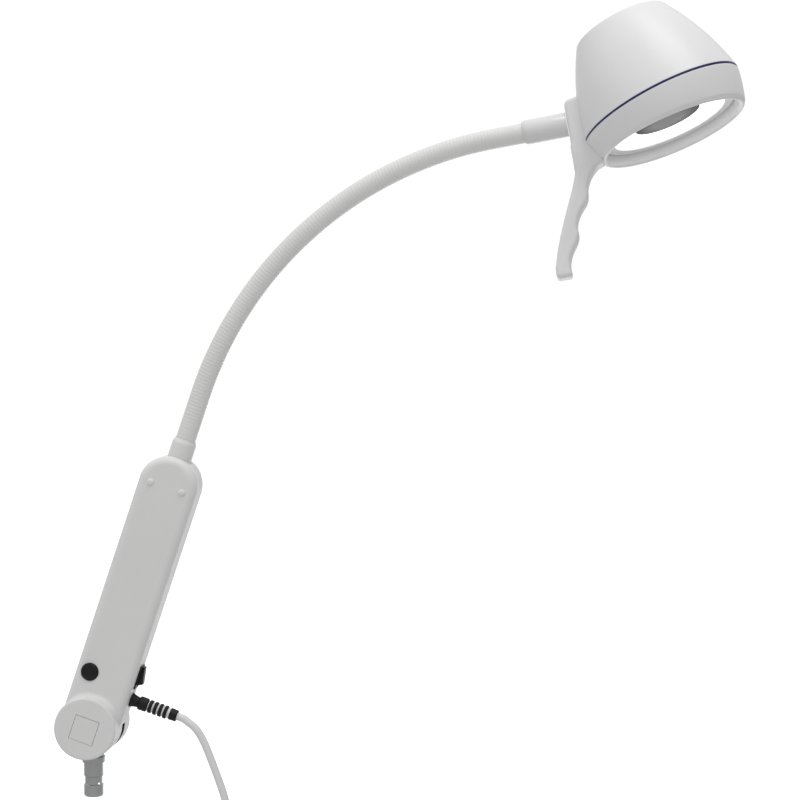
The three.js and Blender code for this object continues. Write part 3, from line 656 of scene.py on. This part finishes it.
# ---------------------------------------------------------------- housing
def housing_field(x, y, z):
    centre = BODY_TOP - BODY_HALF
    flat = np.hypot(x, z - np.clip(z, 0, centre)) - BODY_HALF
    body = pushed_field(flat, y, BODY_T, BODY_EDGE)
    radius = np.hypot(x, z)
    drum = pushed_field(radius - DRUM_R + 0.15, y, DRUM_HALF, 1.7)
    proud = smooth_step(np.abs(y), 12.5, 15.5) * (1 - smooth_step(np.abs(x), 14, 24)) * smooth_step(z, 3, 12)
    whole = joined(body, drum, 0.05 + 4.0 * proud)
    room = np.maximum(pushed_field(flat + WALL, y, BODY_T - WALL, BODY_EDGE - WALL), 28 - z)
    whole = np.maximum(whole, -room)
    posts = np.full_like(x, 1e3)
    for px, pz in SCREW_SPOTS:
        posts = np.minimum(posts, np.hypot(x - px, z - pz) - 3.6)
    whole = np.minimum(whole, np.maximum(posts, np.abs(y) - BODY_T + 1))
    slot = block_field(x, y, z, (-60, SLOT_Y[0], -60), (60, SLOT_Y[1], SLOT_TOP))
    middle = (SLOT_Y[0] + SLOT_Y[1]) / 2
    slot = np.minimum(slot, np.maximum(radius - EYE_ROOM_R, np.abs(y - middle) - SLOT_Y[1] + middle))
    whole = cut(whole, slot, 0.35)
    pockets = np.minimum(np.abs(y + 15.5) - 6.5, np.abs(y - 19.5) - 4.5)
    mouth = np.maximum(radius - 8.2, np.abs(y + 22) - 2)
    bore = np.minimum(np.minimum(radius - 4.3, np.maximum(radius - 9, pockets)), mouth)
    whole = np.maximum(whole, -bore)
    bx, bz, br = BUTTON
    off = np.hypot(x - bx, z - bz)
    dish_r = 60.0
    dish = np.hypot(off, y + BODY_T + dish_r - 0.9) - dish_r
    whole = cut(whole, np.maximum(dish, off - 13), 0.3)
    whole = cut(whole, np.maximum(off - br - 0.3, y + BODY_T - WALL - 1), 0.2)
    side = block_field(x, y, z, (20, -5, ROCKER_Z - 8.3), (30, 5, ROCKER_Z + 8.3))
    whole = np.maximum(whole, -side)
    whole = np.maximum(whole, -np.maximum(np.hypot(y, z - RELIEF_Z) - 4.6, 12 - x))
    whole = cut(whole, np.maximum(np.hypot(x, y) - FERRULE_R - 0.3, 200 - z), 0.3)
    for px, pz in PLUG_SPOTS:
        whole = np.maximum(whole, -np.maximum(np.hypot(x - px, z - pz) - 2.2, y + BODY_T - 1.6))
    return whole


def front_field(x, y, z):
    whole = housing_field(x, y, z)
    edge = PLATE_HALF + 0.28
    recess = block_field(x, y, z, (-edge, -40, -edge - PLATE_DROP),
                         (edge, -DRUM_HALF + 1.9, edge - PLATE_DROP))
    whole = cut(whole, recess, 0.12)
    return cut(whole, -y - PARTING, 0.2)


def rear_field(x, y, z):
    whole = housing_field(x, y, z)
    whole = cut(whole, np.maximum(np.hypot(x, z) - 10.5, DRUM_HALF - 2.1 - y), 0.15)
    for px, pz in SCREW_SPOTS:
        off = np.hypot(x - px, z - pz)
        whole = cut(whole, np.maximum(off - 3.3, BODY_T - 2.2 - y), 0.15)
        whole = np.maximum(whole, -np.maximum(off - 1.9, -8 - y))
    return cut(whole, y - PARTING, 0.2)


def housing():
    across = steps((-26.4, -17, 0.8), (-17, -11, 0.75), (-11, -9.5, 0.25), (-9.5, -4.5, 0.8),
                   (-4.5, 9.5, 2.0), (9.5, 11, 0.25), (11, 17, 1.2), (17, 26.4, 0.8))
    up = steps((-26.4, -11.8, 0.9), (-11.8, -10.2, 0.25), (-10.2, 8.4, 1.2), (8.4, 10.0, 0.25), (10, 36, 0.9),
               (36, 51, 0.7), (51, 62, 1.3), (62, 80, 3.0), (80, 88, 0.8), (88, 188, 5.0), (188, 200, 0.8),
               (200, 231.2, 0.9))
    front = steps((-26.8, -22, 0.55), (-22, -17.4, 1.1), (-17.4, -9, 0.6), (-9, -1.2, 1.4), (-1.2, 0.4, 0.3))
    rear = steps((-0.4, 1.2, 0.3), (1.2, 8.2, 1.4), (8.2, 9.2, 0.4), (9.2, 17.4, 0.7), (17.4, 22, 1.1),
                 (22, 26.8, 0.55))
    shell = field_piece("housing_front_shell", front_field, across, front, up, ARM, HOUSING, "arm")
    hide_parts("housing_front")
    shell = field_piece("housing_rear_shell", rear_field, across, rear, up, ARM, HOUSING, "arm")
    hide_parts("housing_rear")


def housing_trim():
    for side, (x, z) in zip(("left", "right"), PLUG_SPOTS):
        outline = [(0, -1.2), (1.9, -1.2), (1.9, 0.05), (2.9, 0.05), (2.85, 0.35), (2.5, 0.85), (1.9, 1.22),
                   (1.1, 1.45), (0, 1.53)]
        plug = turned(f"screw_cover_{side}", outline, ARM @ Matrix.Translation(Vector((x, -BODY_T, z)) * MM)
                      @ turn("X", 90), HOUSING, "arm", 48, 0.15)
        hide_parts(f"screw_plug_{side}")
    cap = turned("bolt_cap_rear", [(0, 24.2), (10.2, 24.2), (10.2, 26), (7.6, 26), (7.2, 25.7), (0, 25.7)],
                 ARM @ turn("X", -90), HOUSING, "arm", 72, 0.35)
    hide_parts("hinge_cap_rear")


def dimmer_button():
    x, z, r = BUTTON
    outline = [(0, -4.6), (r - 0.9, -4.6), (r, -4.0), (r, 0.3), (r - 0.55, 0.85), (r - 1.5, 0.85),
               (r - 2.0, 0.5)]
    for ring in (4.2, 3.2, 2.2, 1.2):
        outline += [(ring, 0.45), (ring - 0.15, 0.3), (ring - 0.35, 0.3), (ring - 0.5, 0.45)]
    outline.append((0, 0.45))
    place = ARM @ Matrix.Translation(Vector((x, -BODY_T, z)) * MM) @ turn("X", 90)
    button = turned("push_button", outline, place, BLACK, "button", 72, 0.2)
    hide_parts("dimmer_button")


def outline_field(x, z, corners):
    """Signed distance to a closed outline of (x, z) corners."""
    nearest = np.full_like(x, 1e9)
    inside = np.zeros(x.shape, bool)
    for (ax, az), (bx, bz) in zip(corners, corners[1:] + corners[:1]):
        ex, ez = bx - ax, bz - az
        t = np.clip(((x - ax) * ex + (z - az) * ez) / (ex * ex + ez * ez), 0, 1)
        nearest = np.minimum(nearest, (x - ax - t * ex) ** 2 + (z - az - t * ez) ** 2)
        if az != bz:
            crosses = ((az > z) != (bz > z)) & (x < ax + ex * (z - az) / ez)
            inside ^= crosses
    return np.where(inside, -1, 1) * np.sqrt(nearest)


def rocker():
    reach = ROCKER_HALF - 3

    def paddle(x, y, z):
        corners = [(-2.6, -reach + 0.9), (2.2, -reach + 0.6), (5.7, -reach + 2.2), (3.3, reach + 2.4),
                   (2.0, reach + 2.6), (1.8, reach - 0.4), (-2.6, reach - 0.9)]
        return pushed_field(outline_field(x, z, corners), y, 3.5, 0.35)

    def bezel(x, y, z):
        rim = block_field(x, y, z, (0.45, -6.0, -ROCKER_HALF + 0.5), (0.9, 6.0, ROCKER_HALF - 0.5)) - 0.45
        throat = block_field(x, y, z, (-3.4, -4.8, -ROCKER_HALF + 1.7), (0.6, 4.8, ROCKER_HALF - 1.7)) - 0.1
        window = block_field(x, y, z, (-9, -3.9, -ROCKER_HALF + 2.6), (9, 3.9, ROCKER_HALF - 2.6))
        return cut(np.minimum(rim, throat), window, 0.2)

    place = ARM @ Matrix.Translation(Vector((BODY_HALF, 0, ROCKER_Z)) * MM)
    key = field_piece("rocker_key", paddle, steps((-3, 6.2, 0.3)), steps((-3.9, 3.9, 0.3)),
                      steps((-6.9, 9.9, 0.35)), place, BLACK, "rocker")
    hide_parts("power_rocker")
    rim = field_piece("rocker_rim", bezel, steps((-3.9, 1.8, 0.3)), steps((-6.9, 6.9, 0.35)),
                      steps((-10.2, 10.2, 0.4)), place, BLACK, "arm")
    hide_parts("rocker_frame")


def housing_screws():
    def field(x, y, z):
        r = np.hypot(x, z)
        head = pushed_field(r - 2.9, y + 0.75, 0.75, 0.3)
        shank = np.maximum(r - 1.5, np.maximum(-21 - y, y + 1))
        across_x = np.maximum(np.abs(x) - 0.4, np.abs(z) - 1.8)
        across_z = np.maximum(np.abs(z) - 0.4, np.abs(x) - 1.8)
        cross = np.minimum(across_x, across_z)
        return cut(np.minimum(head, shank), np.maximum(cross, -0.9 - y), 0.1)

    across = steps((-3.2, 3.2, 0.25))
    along = steps((-21.4, -3, 1.2), (-3, 0.4, 0.25))
    for i, (x, z) in enumerate(SCREW_SPOTS):
        place = ARM @ Matrix.Translation(Vector((x, BODY_T - 0.3, z)) * MM)
        screw = field_piece(f"case_screw_{i + 1}", field, across, along, across, place, STEEL, "arm")
        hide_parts(f"housing_screw_{i + 1}")


# Painted shade: thin black sheets on the slot's front and rear walls make the slot look dark.
def slot_shade_sheets():
    for side, at in (("front", SLOT_Y[0] + 0.22), ("rear", SLOT_Y[1] - 0.22)):
        def field(x, y, z, at=at):
            r = np.hypot(x, z)
            flat = np.maximum(np.maximum(r - DRUM_R + 0.5, 12.5 - r), z - SLOT_TOP + 0.3)
            return pushed_field(flat, y - at, 0.2, 0.08)

        across = steps((-25.6, 25.6, 0.8))
        thin = steps((at - 0.4, at + 0.4, 0.1))
        up = steps((-25.6, 8.4, 0.8))
        field_piece(f"slot_shade_sheet_{side}", field, across, thin, up, ARM, BLACK, "arm")


housing()
slot_shade_sheets()
housing_trim()
dimmer_button()
rocker()
housing_screws()


# ---------------------------------------------------------------- gooseneck
START_PITCH = math.radians(90 - LEAN)
END_PITCH = math.radians(NECK_END_PITCH)
ARC_R = NECK_ARC / (START_PITCH - END_PITCH)
ROWS_PER_RIB = 6
SLEEVE_SIDES = 36
SLEEVE_BORE_R = 6.4
BLEND_REACH = 16.0           # millimetres to each side of a joint, where sleeve() looks up the neck's points without using them


def neck_at(distance):
    """Point in metres and pitch of the neck's centre line, distance in millimetres from the lower ferrule."""
    base = arm_point(0, NECK_BASE)
    first = min(distance, NECK_STRAIGHT)
    on_arc = min(max(distance - NECK_STRAIGHT, 0), NECK_ARC)
    beyond = max(distance - NECK_STRAIGHT - NECK_ARC, 0)
    pitch = START_PITCH - on_arc / ARC_R
    x = (first * math.cos(START_PITCH) + ARC_R * (math.sin(START_PITCH) - math.sin(pitch))
         + beyond * math.cos(pitch))
    z = (first * math.sin(START_PITCH) + ARC_R * (math.cos(pitch) - math.cos(START_PITCH))
         + beyond * math.sin(pitch))
    return base + Vector((x, 0, z)) * MM, pitch


def rib_radius(distance):
    """The sleeve's radius: shallow round ribs that fade out beside the ferrules."""
    fade = min(1.0, max(0.25, (distance + 2) / 24), max(0.25, (NECK_LENGTH - distance) / 30))
    wave = (0.5 - 0.5 * math.cos(2 * math.pi * distance / RIB_PITCH)) ** 0.8
    return NECK_R - RIB_DEPTH * fade * (1 - wave)


def sleeve(k):
    """The stretch of ribbed sleeve that crosses joint k, from the middle of one link to the next."""
    start = FIRST_JOINT + (k - 1.5) * JOINT_PITCH if k > 1 else -8.0
    end = FIRST_JOINT + (k - 0.5) * JOINT_PITCH if k < LINKS else NECK_LENGTH + 14.0
    rows = round((end - start) / RIB_PITCH * ROWS_PER_RIB)
    sides = SLEEVE_SIDES
    points, faces, rings = [], [], []
    stations = [(start + (end - start) * i / rows, None) for i in range(rows + 1)]
    stations += [(end, SLEEVE_BORE_R), (start, SLEEVE_BORE_R)]
    for distance, inner in stations:
        centre, pitch = neck_at(distance)
        up = Vector((-math.sin(pitch), 0, math.cos(pitch)))
        across = Vector((0, 1, 0))
        radius = (inner or rib_radius(distance)) * MM
        rings.append(list(range(len(points), len(points) + sides)))
        for n in range(sides):
            a = 2 * math.pi * n / sides
            points.append((centre + across * (radius * math.cos(a)) + up * (radius * math.sin(a))) / MM)
    for lower, upper in zip(rings, rings[1:] + rings[:1]):
        for n in range(sides):
            m = (n + 1) % sides
            faces.append((lower[m], lower[n], upper[n], upper[m]))
    made = piece(f"neck_sleeve_{k}", points, faces, ORIGIN, SLEEVE, None, sharp=50)
    joint = FIRST_JOINT + (k - 1) * JOINT_PITCH
    reach = BLEND_REACH
    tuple(neck_at(joint - reach)[0])
    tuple(neck_at(joint + reach)[0])
    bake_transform(made)
    covered = [f"neck_link_{k}"] + (["neck_base"] if k == 1 else [])
    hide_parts(*covered)


for number in range(1, LINKS + 1):
    sleeve(number)


def ferrules():
    lower = turned("ferrule_lower", [
        (NECK_R + 0.3, BODY_TOP - 8), (FERRULE_R, BODY_TOP - 8), (FERRULE_R, NECK_BASE - 1.2),
        (FERRULE_R - 1.3, NECK_BASE + 1.8), (NECK_R + 0.3, NECK_BASE + 1.8), (NECK_R + 0.3, BODY_TOP - 8),
    ], ARM, SLEEVE, "arm", 72, 0.9)
    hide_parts("lower_ferrule")
    upper = turned("ferrule_upper", [
        (0, 0.05), (FERRULE_R, 0.05), (FERRULE_R, UPPER_FERRULE - 2.6), (NECK_R + 0.5, UPPER_FERRULE),
        (NECK_R + 0.3, UPPER_FERRULE - 0.5), (NECK_R + 0.3, 16), (0, 16),
    ], NECK_TIP @ turn("Y", -90), FERRULE, f"link_{LINKS}", 72, 0.5)
    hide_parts("upper_ferrule")


ferrules()


# ---------------------------------------------------------------- head
def dome_radius(t):
    return DOME["r"] - 0.165 * t - 0.0029 * t * t


def dome_outline(grow):
    count = 22
    outline = [(dome_radius(DOME["h"] * i / count) + grow, DOME["h"] * i / count) for i in range(count + 1)]
    shoulder = outline[-1][0]
    top = DOME["top"] + grow
    corner = (shoulder - 1.4, top - 0.6)
    end = (shoulder - 11, top - 0.35)
    for i in range(1, 9):
        t = i / 8
        outline.append((
            shoulder * (1 - t) ** 2 + corner[0] * 2 * t * (1 - t) + end[0] * t * t,
            DOME["h"] * (1 - t) ** 2 + corner[1] * 2 * t * (1 - t) + end[1] * t * t,
        ))
    outline.append((shoulder / 3, top - 0.08))
    outline.append((0, top))
    return outline


WEDGE = math.tan(math.radians(DOME["tilt"] - RIM["tilt"]))
RIM_SHIFT = 0.76             # millimetres that the bezel's upper end lies off the rim's axis


def wedged(point):
    """Lifts a point of the bezel so that its upper end lies in the dome's split plane."""
    x, y, z = point
    share = max(z, 0) / RIM["height"]
    return (x - RIM_SHIFT * share, y, z * (1 + x * WEDGE / RIM["height"]))


def bezel_radius(z):
    share = z / RIM["height"]
    return RIM["r"] + (DOME["r"] - RIM["r"]) * (1.45 * share - 0.45 * share * share)


def head_shells():
    base = HALF_LINE + 0.12
    outer = [(r, max(t, base)) for r, t in dome_outline(0)]
    inner = [(r, max(t, base)) for r, t in dome_outline(-SHELL)][::-1]
    dome = turned("dome_shell", [*outer, *inner, outer[0]], DOME_FRAME, HEAD_WHITE, "head", 144,
                  0.25)
    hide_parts("head_dome")
    ring = turned("navy_line", [
        (61.6, -HALF_LINE), (DOME["r"] - 0.05, -HALF_LINE), (DOME["r"] - 0.05, HALF_LINE), (61.6, HALF_LINE),
        (61.6, -HALF_LINE),
    ], DOME_FRAME, NAVY, "head", 144, 0.12)
    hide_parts("accent_ring")
    top = RIM["height"] - base
    side = [(bezel_radius(2.6 + (top - 2.6) * i / 12), 2.6 + (top - 2.6) * i / 12) for i in range(13)]
    r, round_r = RIM["r"], RIM["lip"] / 2 + 0.15
    lip = []
    for i in range(12):
        angle = math.radians(180 + 15 * i)
        lip.append((r - round_r * (1 - math.cos(angle)), round_r * (1 + math.sin(angle))))
    ledge = [(r - 1.4, 13), (54.4, 13), (54.4, 11), (55.1, 8.6)]
    profile = [*lip, *side, (DOME["r"] - SHELL - 1.2, top), *ledge, lip[0]]
    bezel = turned("bezel_shell", profile, RIM_FRAME, HEAD_WHITE, "head", 144, 0.7, wedged)
    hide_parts("head_bezel")


def lamp_face():
    step = turned("step_ring", [
        (46, 9), (49.4, 9), (49.8, 9.5), (50.6, 9.5), (51, 9), (54.1, 9), (54.1, 12), (52, 14.6), (46.6, 14.6),
        (46, 9),
    ], RIM_FRAME, STEP_WHITE, "head", 144, 0.35)
    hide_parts("retaining_ring")
    lens = turned("lens_ring", [
        (REFLECTOR_R + 0.3, 13.2), (34, 12.3), (41, 11.3), (45.6, 10.6), (46.3, 14.9), (46.3, 17),
        (REFLECTOR_R + 0.3, 19), (REFLECTOR_R + 0.3, 13.2),
    ], RIM_FRAME, LENS, "head", 144, 0.3)
    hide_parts("diffuser")
    bowl = [(0, BOWL_FACE)]
    bowl += [(REFLECTOR_R * i / 16, BOWL_FACE + 2.1 * (i / 16) ** 2.1) for i in range(1, 17)]
    middle = turned("middle_reflector", [*bowl, (REFLECTOR_R, 19.4), (0, 19.4)], RIM_FRAME, REFLECTOR_PAINTED_SHADE, "head",
                    128, 0.3)
    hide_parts("centre_reflector")


def curve_points(start, *bends):
    """Corners along straight, quadratic and cubic stretches, each given as control points and its end."""
    corners = [start]
    count = 8
    for bend in bends:
        a = corners[-1]
        for i in range(1, count + 1):
            t = i / count
            if len(bend) == 1:
                corners.append(bend[0])
                break
            if len(bend) == 2:
                weights = ((1 - t) ** 2, 2 * t * (1 - t), t * t)
            else:
                weights = ((1 - t) ** 3, 3 * t * (1 - t) ** 2, 3 * t * t * (1 - t), t ** 3)
            way = (a, *bend)
            corners.append(tuple(sum(w * p[c] for w, p in zip(weights, way)) for c in (0, 1)))
    return corners


PAD = curve_points(
    (0.3, -38), ((0.3, 12.5),), ((0.5, 17.2), (4.4, 18)), ((34, 21.5),), ((34, -36),), ((20.5, -37.4),))
GRIP = curve_points(
    (0.3, -20), ((0, -38),), ((-1, -50), (-20, -80), (-28.4, -113)),
    ((-28.8, -117.5),), ((-29, -121.9), (-25.2, -122)), ((-18.6, -122),), ((-16.3, -122), (-16.2, -118)),
    ((-17.4, -108), (-10.2, -99)), ((-5.6, -93), (-5.8, -88)),
    ((-7, -79), (1, -70)), ((7.6, -63.6), (7, -56)), ((10, -44), (20.5, -37.2)), ((24, -20),))


def head_envelope(x, y, z):
    """A field below 0 inside the dome and bezel, which keep the bracket out, and the height on the bezel."""
    to_dome = (HEAD.inverted() @ DOME_FRAME).inverted()
    to_rim = (HEAD.inverted() @ RIM_FRAME).inverted()

    def moved(m):
        shift = m.translation / MM
        return [m[i][0] * x + m[i][1] * y + m[i][2] * z + shift[i] for i in range(3)]

    u, v, t = moved(to_dome)
    dome = np.maximum(np.hypot(u, v) - dome_radius(t), np.maximum(-t, t - DOME["top"]))
    u, v, t = moved(to_rim)
    level = t / (1 + u * WEDGE / RIM["height"])
    u = u + RIM_SHIFT * level / RIM["height"]
    bezel = np.maximum(np.hypot(u, v) - bezel_radius(np.maximum(level, 0)),
                       np.maximum(-16 - t, level - RIM["height"] - 0.4))
    return np.minimum(dome, bezel), level


def bracket():
    def field(x, y, z):
        flat = joined(outline_field(x, z, PAD), outline_field(x, z, GRIP), 2.5)
        half = 8.5 + 2.5 * smooth_step(z, -56, -24)
        solid = pushed_field(flat, y, half, 3.6)
        shell, level = head_envelope(x, y, z)
        fillet = 0.05 + 1.5 * smooth_step(level, RIM["height"] - 3, RIM["height"] + 9)
        return cut(np.maximum(joined(solid, shell, fillet), solid - fillet), shell + 0.7, 0.02)

    across = steps((-31, 34, 0.8))
    deep = steps((-16.6, 16.6, 0.8))
    up = steps((-123.4, 24.2, 0.8))
    made = field_piece("bracket_and_grip", field, across, deep, up, HEAD, HEAD_WHITE, "head")
    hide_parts("bracket_grip")


head_shells()
lamp_face()
bracket()


# ---------------------------------------------------------------- frame nodes that stay
KEPT = {
    "hinge_bolt": STEEL, "spring_washer": STEEL, "bolt_washer": STEEL, "hinge_nut": STEEL,
    "friction_washer_front": BRASS, "friction_washer_rear": BRASS, "hinge_cover_plate": HOUSING,
    "button_switch": BLACK, "rocker_switch_body": BLACK, "supply_board": BOARD, "transformer": BRASS,
    "smoothing_capacitor": BLACK, "control_chip_block": BLACK, "terminal_block": STEP_WHITE,
    "cable_clamp": STEEL, "coil_tie": RUBBER, "driver_board": BOARD, "driver_coil": BRASS,
    "led_board": BOARD, "heat_sink": ALUMINIUM,
}


def dress(name, material):
    node = frame["nodes"][name]
    node.data.materials.clear()
    node.data.materials.append(material)
    softened = node.modifiers.new("edges", "BEVEL")
    softened.width = 0.00025
    softened.segments = 2
    softened.limit_method = "ANGLE"
    softened.angle_limit = math.radians(40)


for kept, look in KEPT.items():
    dress(kept, look)


# ---------------------------------------------------------------- floor, backdrop and light
# The photo is cut out on white. BEHIND is the main camera's line of sight: the surround is white in a cone
# around it, and the floor glows in the wedge that the main camera sees behind the object. Both are fixed in
# the world and read no camera node, but their place comes from where the main camera stands.
FLOOR_AT = Vector((0.2, 0, -0.262))
FLOOR_HALF = 7.0
FLOOR_TONE = ((0.60, 0.60, 0.60), (0.62, 0.62, 0.62))
GLOW_Y = (0.5, 1.0)          # metres behind the object over which the glow comes in
GLOW = 0.95
BEHIND = (-0.1015, 0.9942, -0.0361)
CONE = (0.91, 0.96)          # cosines to BEHIND at the cone's outer and inner border
SKY_LOW, SKY_HIGH, SKY_BEHIND = 0.56, 0.97, 1.05
SKY_SIDE = 0.3               # share of the light that is left at the far right
SKY_SIDE_X = (0.35, 0.95)


def mapped(nodes, links, source, start, end, low, high):
    """A smooth run from low to high as source goes from start to end."""
    run = nodes.new("ShaderNodeMapRange")
    run.interpolation_type = "SMOOTHSTEP"
    for key, value in (("From Min", start), ("From Max", end), ("To Min", low), ("To Max", high)):
        run.inputs[key].default_value = value
    links.new(source, run.inputs["Value"])
    return run.outputs["Result"]


def combined(nodes, links, operation, a, b):
    node = nodes.new("ShaderNodeMath")
    node.operation = operation
    links.new(a, node.inputs[0])
    links.new(b, node.inputs[1])
    return node.outputs["Value"]


def behind_share(nodes, links, direction, strength):
    """Rises from 0 to strength where a direction comes close to BEHIND."""
    facing = nodes.new("ShaderNodeVectorMath")
    facing.operation = "DOT_PRODUCT"
    facing.inputs[1].default_value = BEHIND
    links.new(direction, facing.inputs[0])
    return mapped(nodes, links, facing.outputs["Value"], *CONE, 0.0, strength)


def floor():
    """A pale floor with a glow in the wedge behind the object, as seen from CAMERA_AT."""
    material, nodes, links, shader = new_material("pale_floor")
    grain = noise(nodes, links, 8.0, 3.0)
    tint = ramp(nodes, links, grain, FLOOR_TONE[0], FLOOR_TONE[1])
    links.new(tint.outputs["Color"], shader.inputs["Base Color"])
    shader.inputs["Roughness"].default_value = 0.8
    shader.inputs["Specular IOR Level"].default_value = 0.1
    where = nodes.new("ShaderNodeTexCoord")
    split = nodes.new("ShaderNodeSeparateXYZ")
    links.new(where.outputs["Object"], split.inputs["Vector"])
    beyond = mapped(nodes, links, split.outputs["Y"], *GLOW_Y, 0.0, GLOW)
    aside = nodes.new("ShaderNodeVectorMath")
    aside.operation = "SUBTRACT"
    aside.inputs[1].default_value = CAMERA_AT - FLOOR_AT
    links.new(where.outputs["Object"], aside.inputs[0])
    facing = nodes.new("ShaderNodeVectorMath")
    facing.operation = "NORMALIZE"
    links.new(aside.outputs["Vector"], facing.inputs[0])
    inside = behind_share(nodes, links, facing.outputs["Vector"], 1.0)
    glow = combined(nodes, links, "MULTIPLY", beyond, inside)
    shader.inputs["Emission Color"].default_value = (1, 1, 1, 1)
    links.new(glow, shader.inputs["Emission Strength"])
    h = FLOOR_HALF
    mesh = bpy.data.meshes.new("floor")
    mesh.from_pydata([(-h, -h, 0), (h, -h, 0), (h, h, 0), (-h, h, 0)], [], [(0, 1, 2, 3)])
    mesh.materials.append(material)
    sheet = bpy.data.objects.new("floor", mesh)
    sheet.location = FLOOR_AT
    bpy.context.scene.collection.objects.link(sheet)


def sky():
    """Studio surround: bright overhead, dimmer low down and at the right, white in a cone around BEHIND."""
    world = bpy.data.worlds.new("studio")
    world.use_nodes = True
    nodes, links = world.node_tree.nodes, world.node_tree.links
    where = nodes.new("ShaderNodeTexCoord")
    split = nodes.new("ShaderNodeSeparateXYZ")
    links.new(where.outputs["Generated"], split.inputs["Vector"])
    overhead = mapped(nodes, links, split.outputs["Z"], 0.0, 1.0, SKY_LOW, SKY_HIGH)
    flagged = mapped(nodes, links, split.outputs["X"], *SKY_SIDE_X, 1.0, SKY_SIDE)
    overhead = combined(nodes, links, "MULTIPLY", overhead, flagged)
    behind = behind_share(nodes, links, where.outputs["Generated"], SKY_BEHIND)
    total = combined(nodes, links, "MAXIMUM", overhead, behind)
    links.new(total, nodes["Background"].inputs["Strength"])
    nodes["Background"].inputs["Color"].default_value = (1, 1, 1, 1)
    bpy.context.scene.world = world


def area_light(name, at, target, size, power):
    data = bpy.data.lights.new(name, "AREA")
    data.shape = "DISK"
    data.size = size
    data.energy = power
    lamp = bpy.data.objects.new(name, data)
    lamp.location = at
    lamp.rotation_mode = "QUATERNION"
    lamp.rotation_quaternion = (Vector(target) - Vector(at)).to_track_quat("-Z", "Y")
    bpy.context.scene.collection.objects.link(lamp)


floor()
sky()
area_light("top_light", (0.8, -0.5, 2.3), (0.3, 0, 0.35), 1.3, 12)
bpy.context.scene.view_settings.view_transform = "Standard"
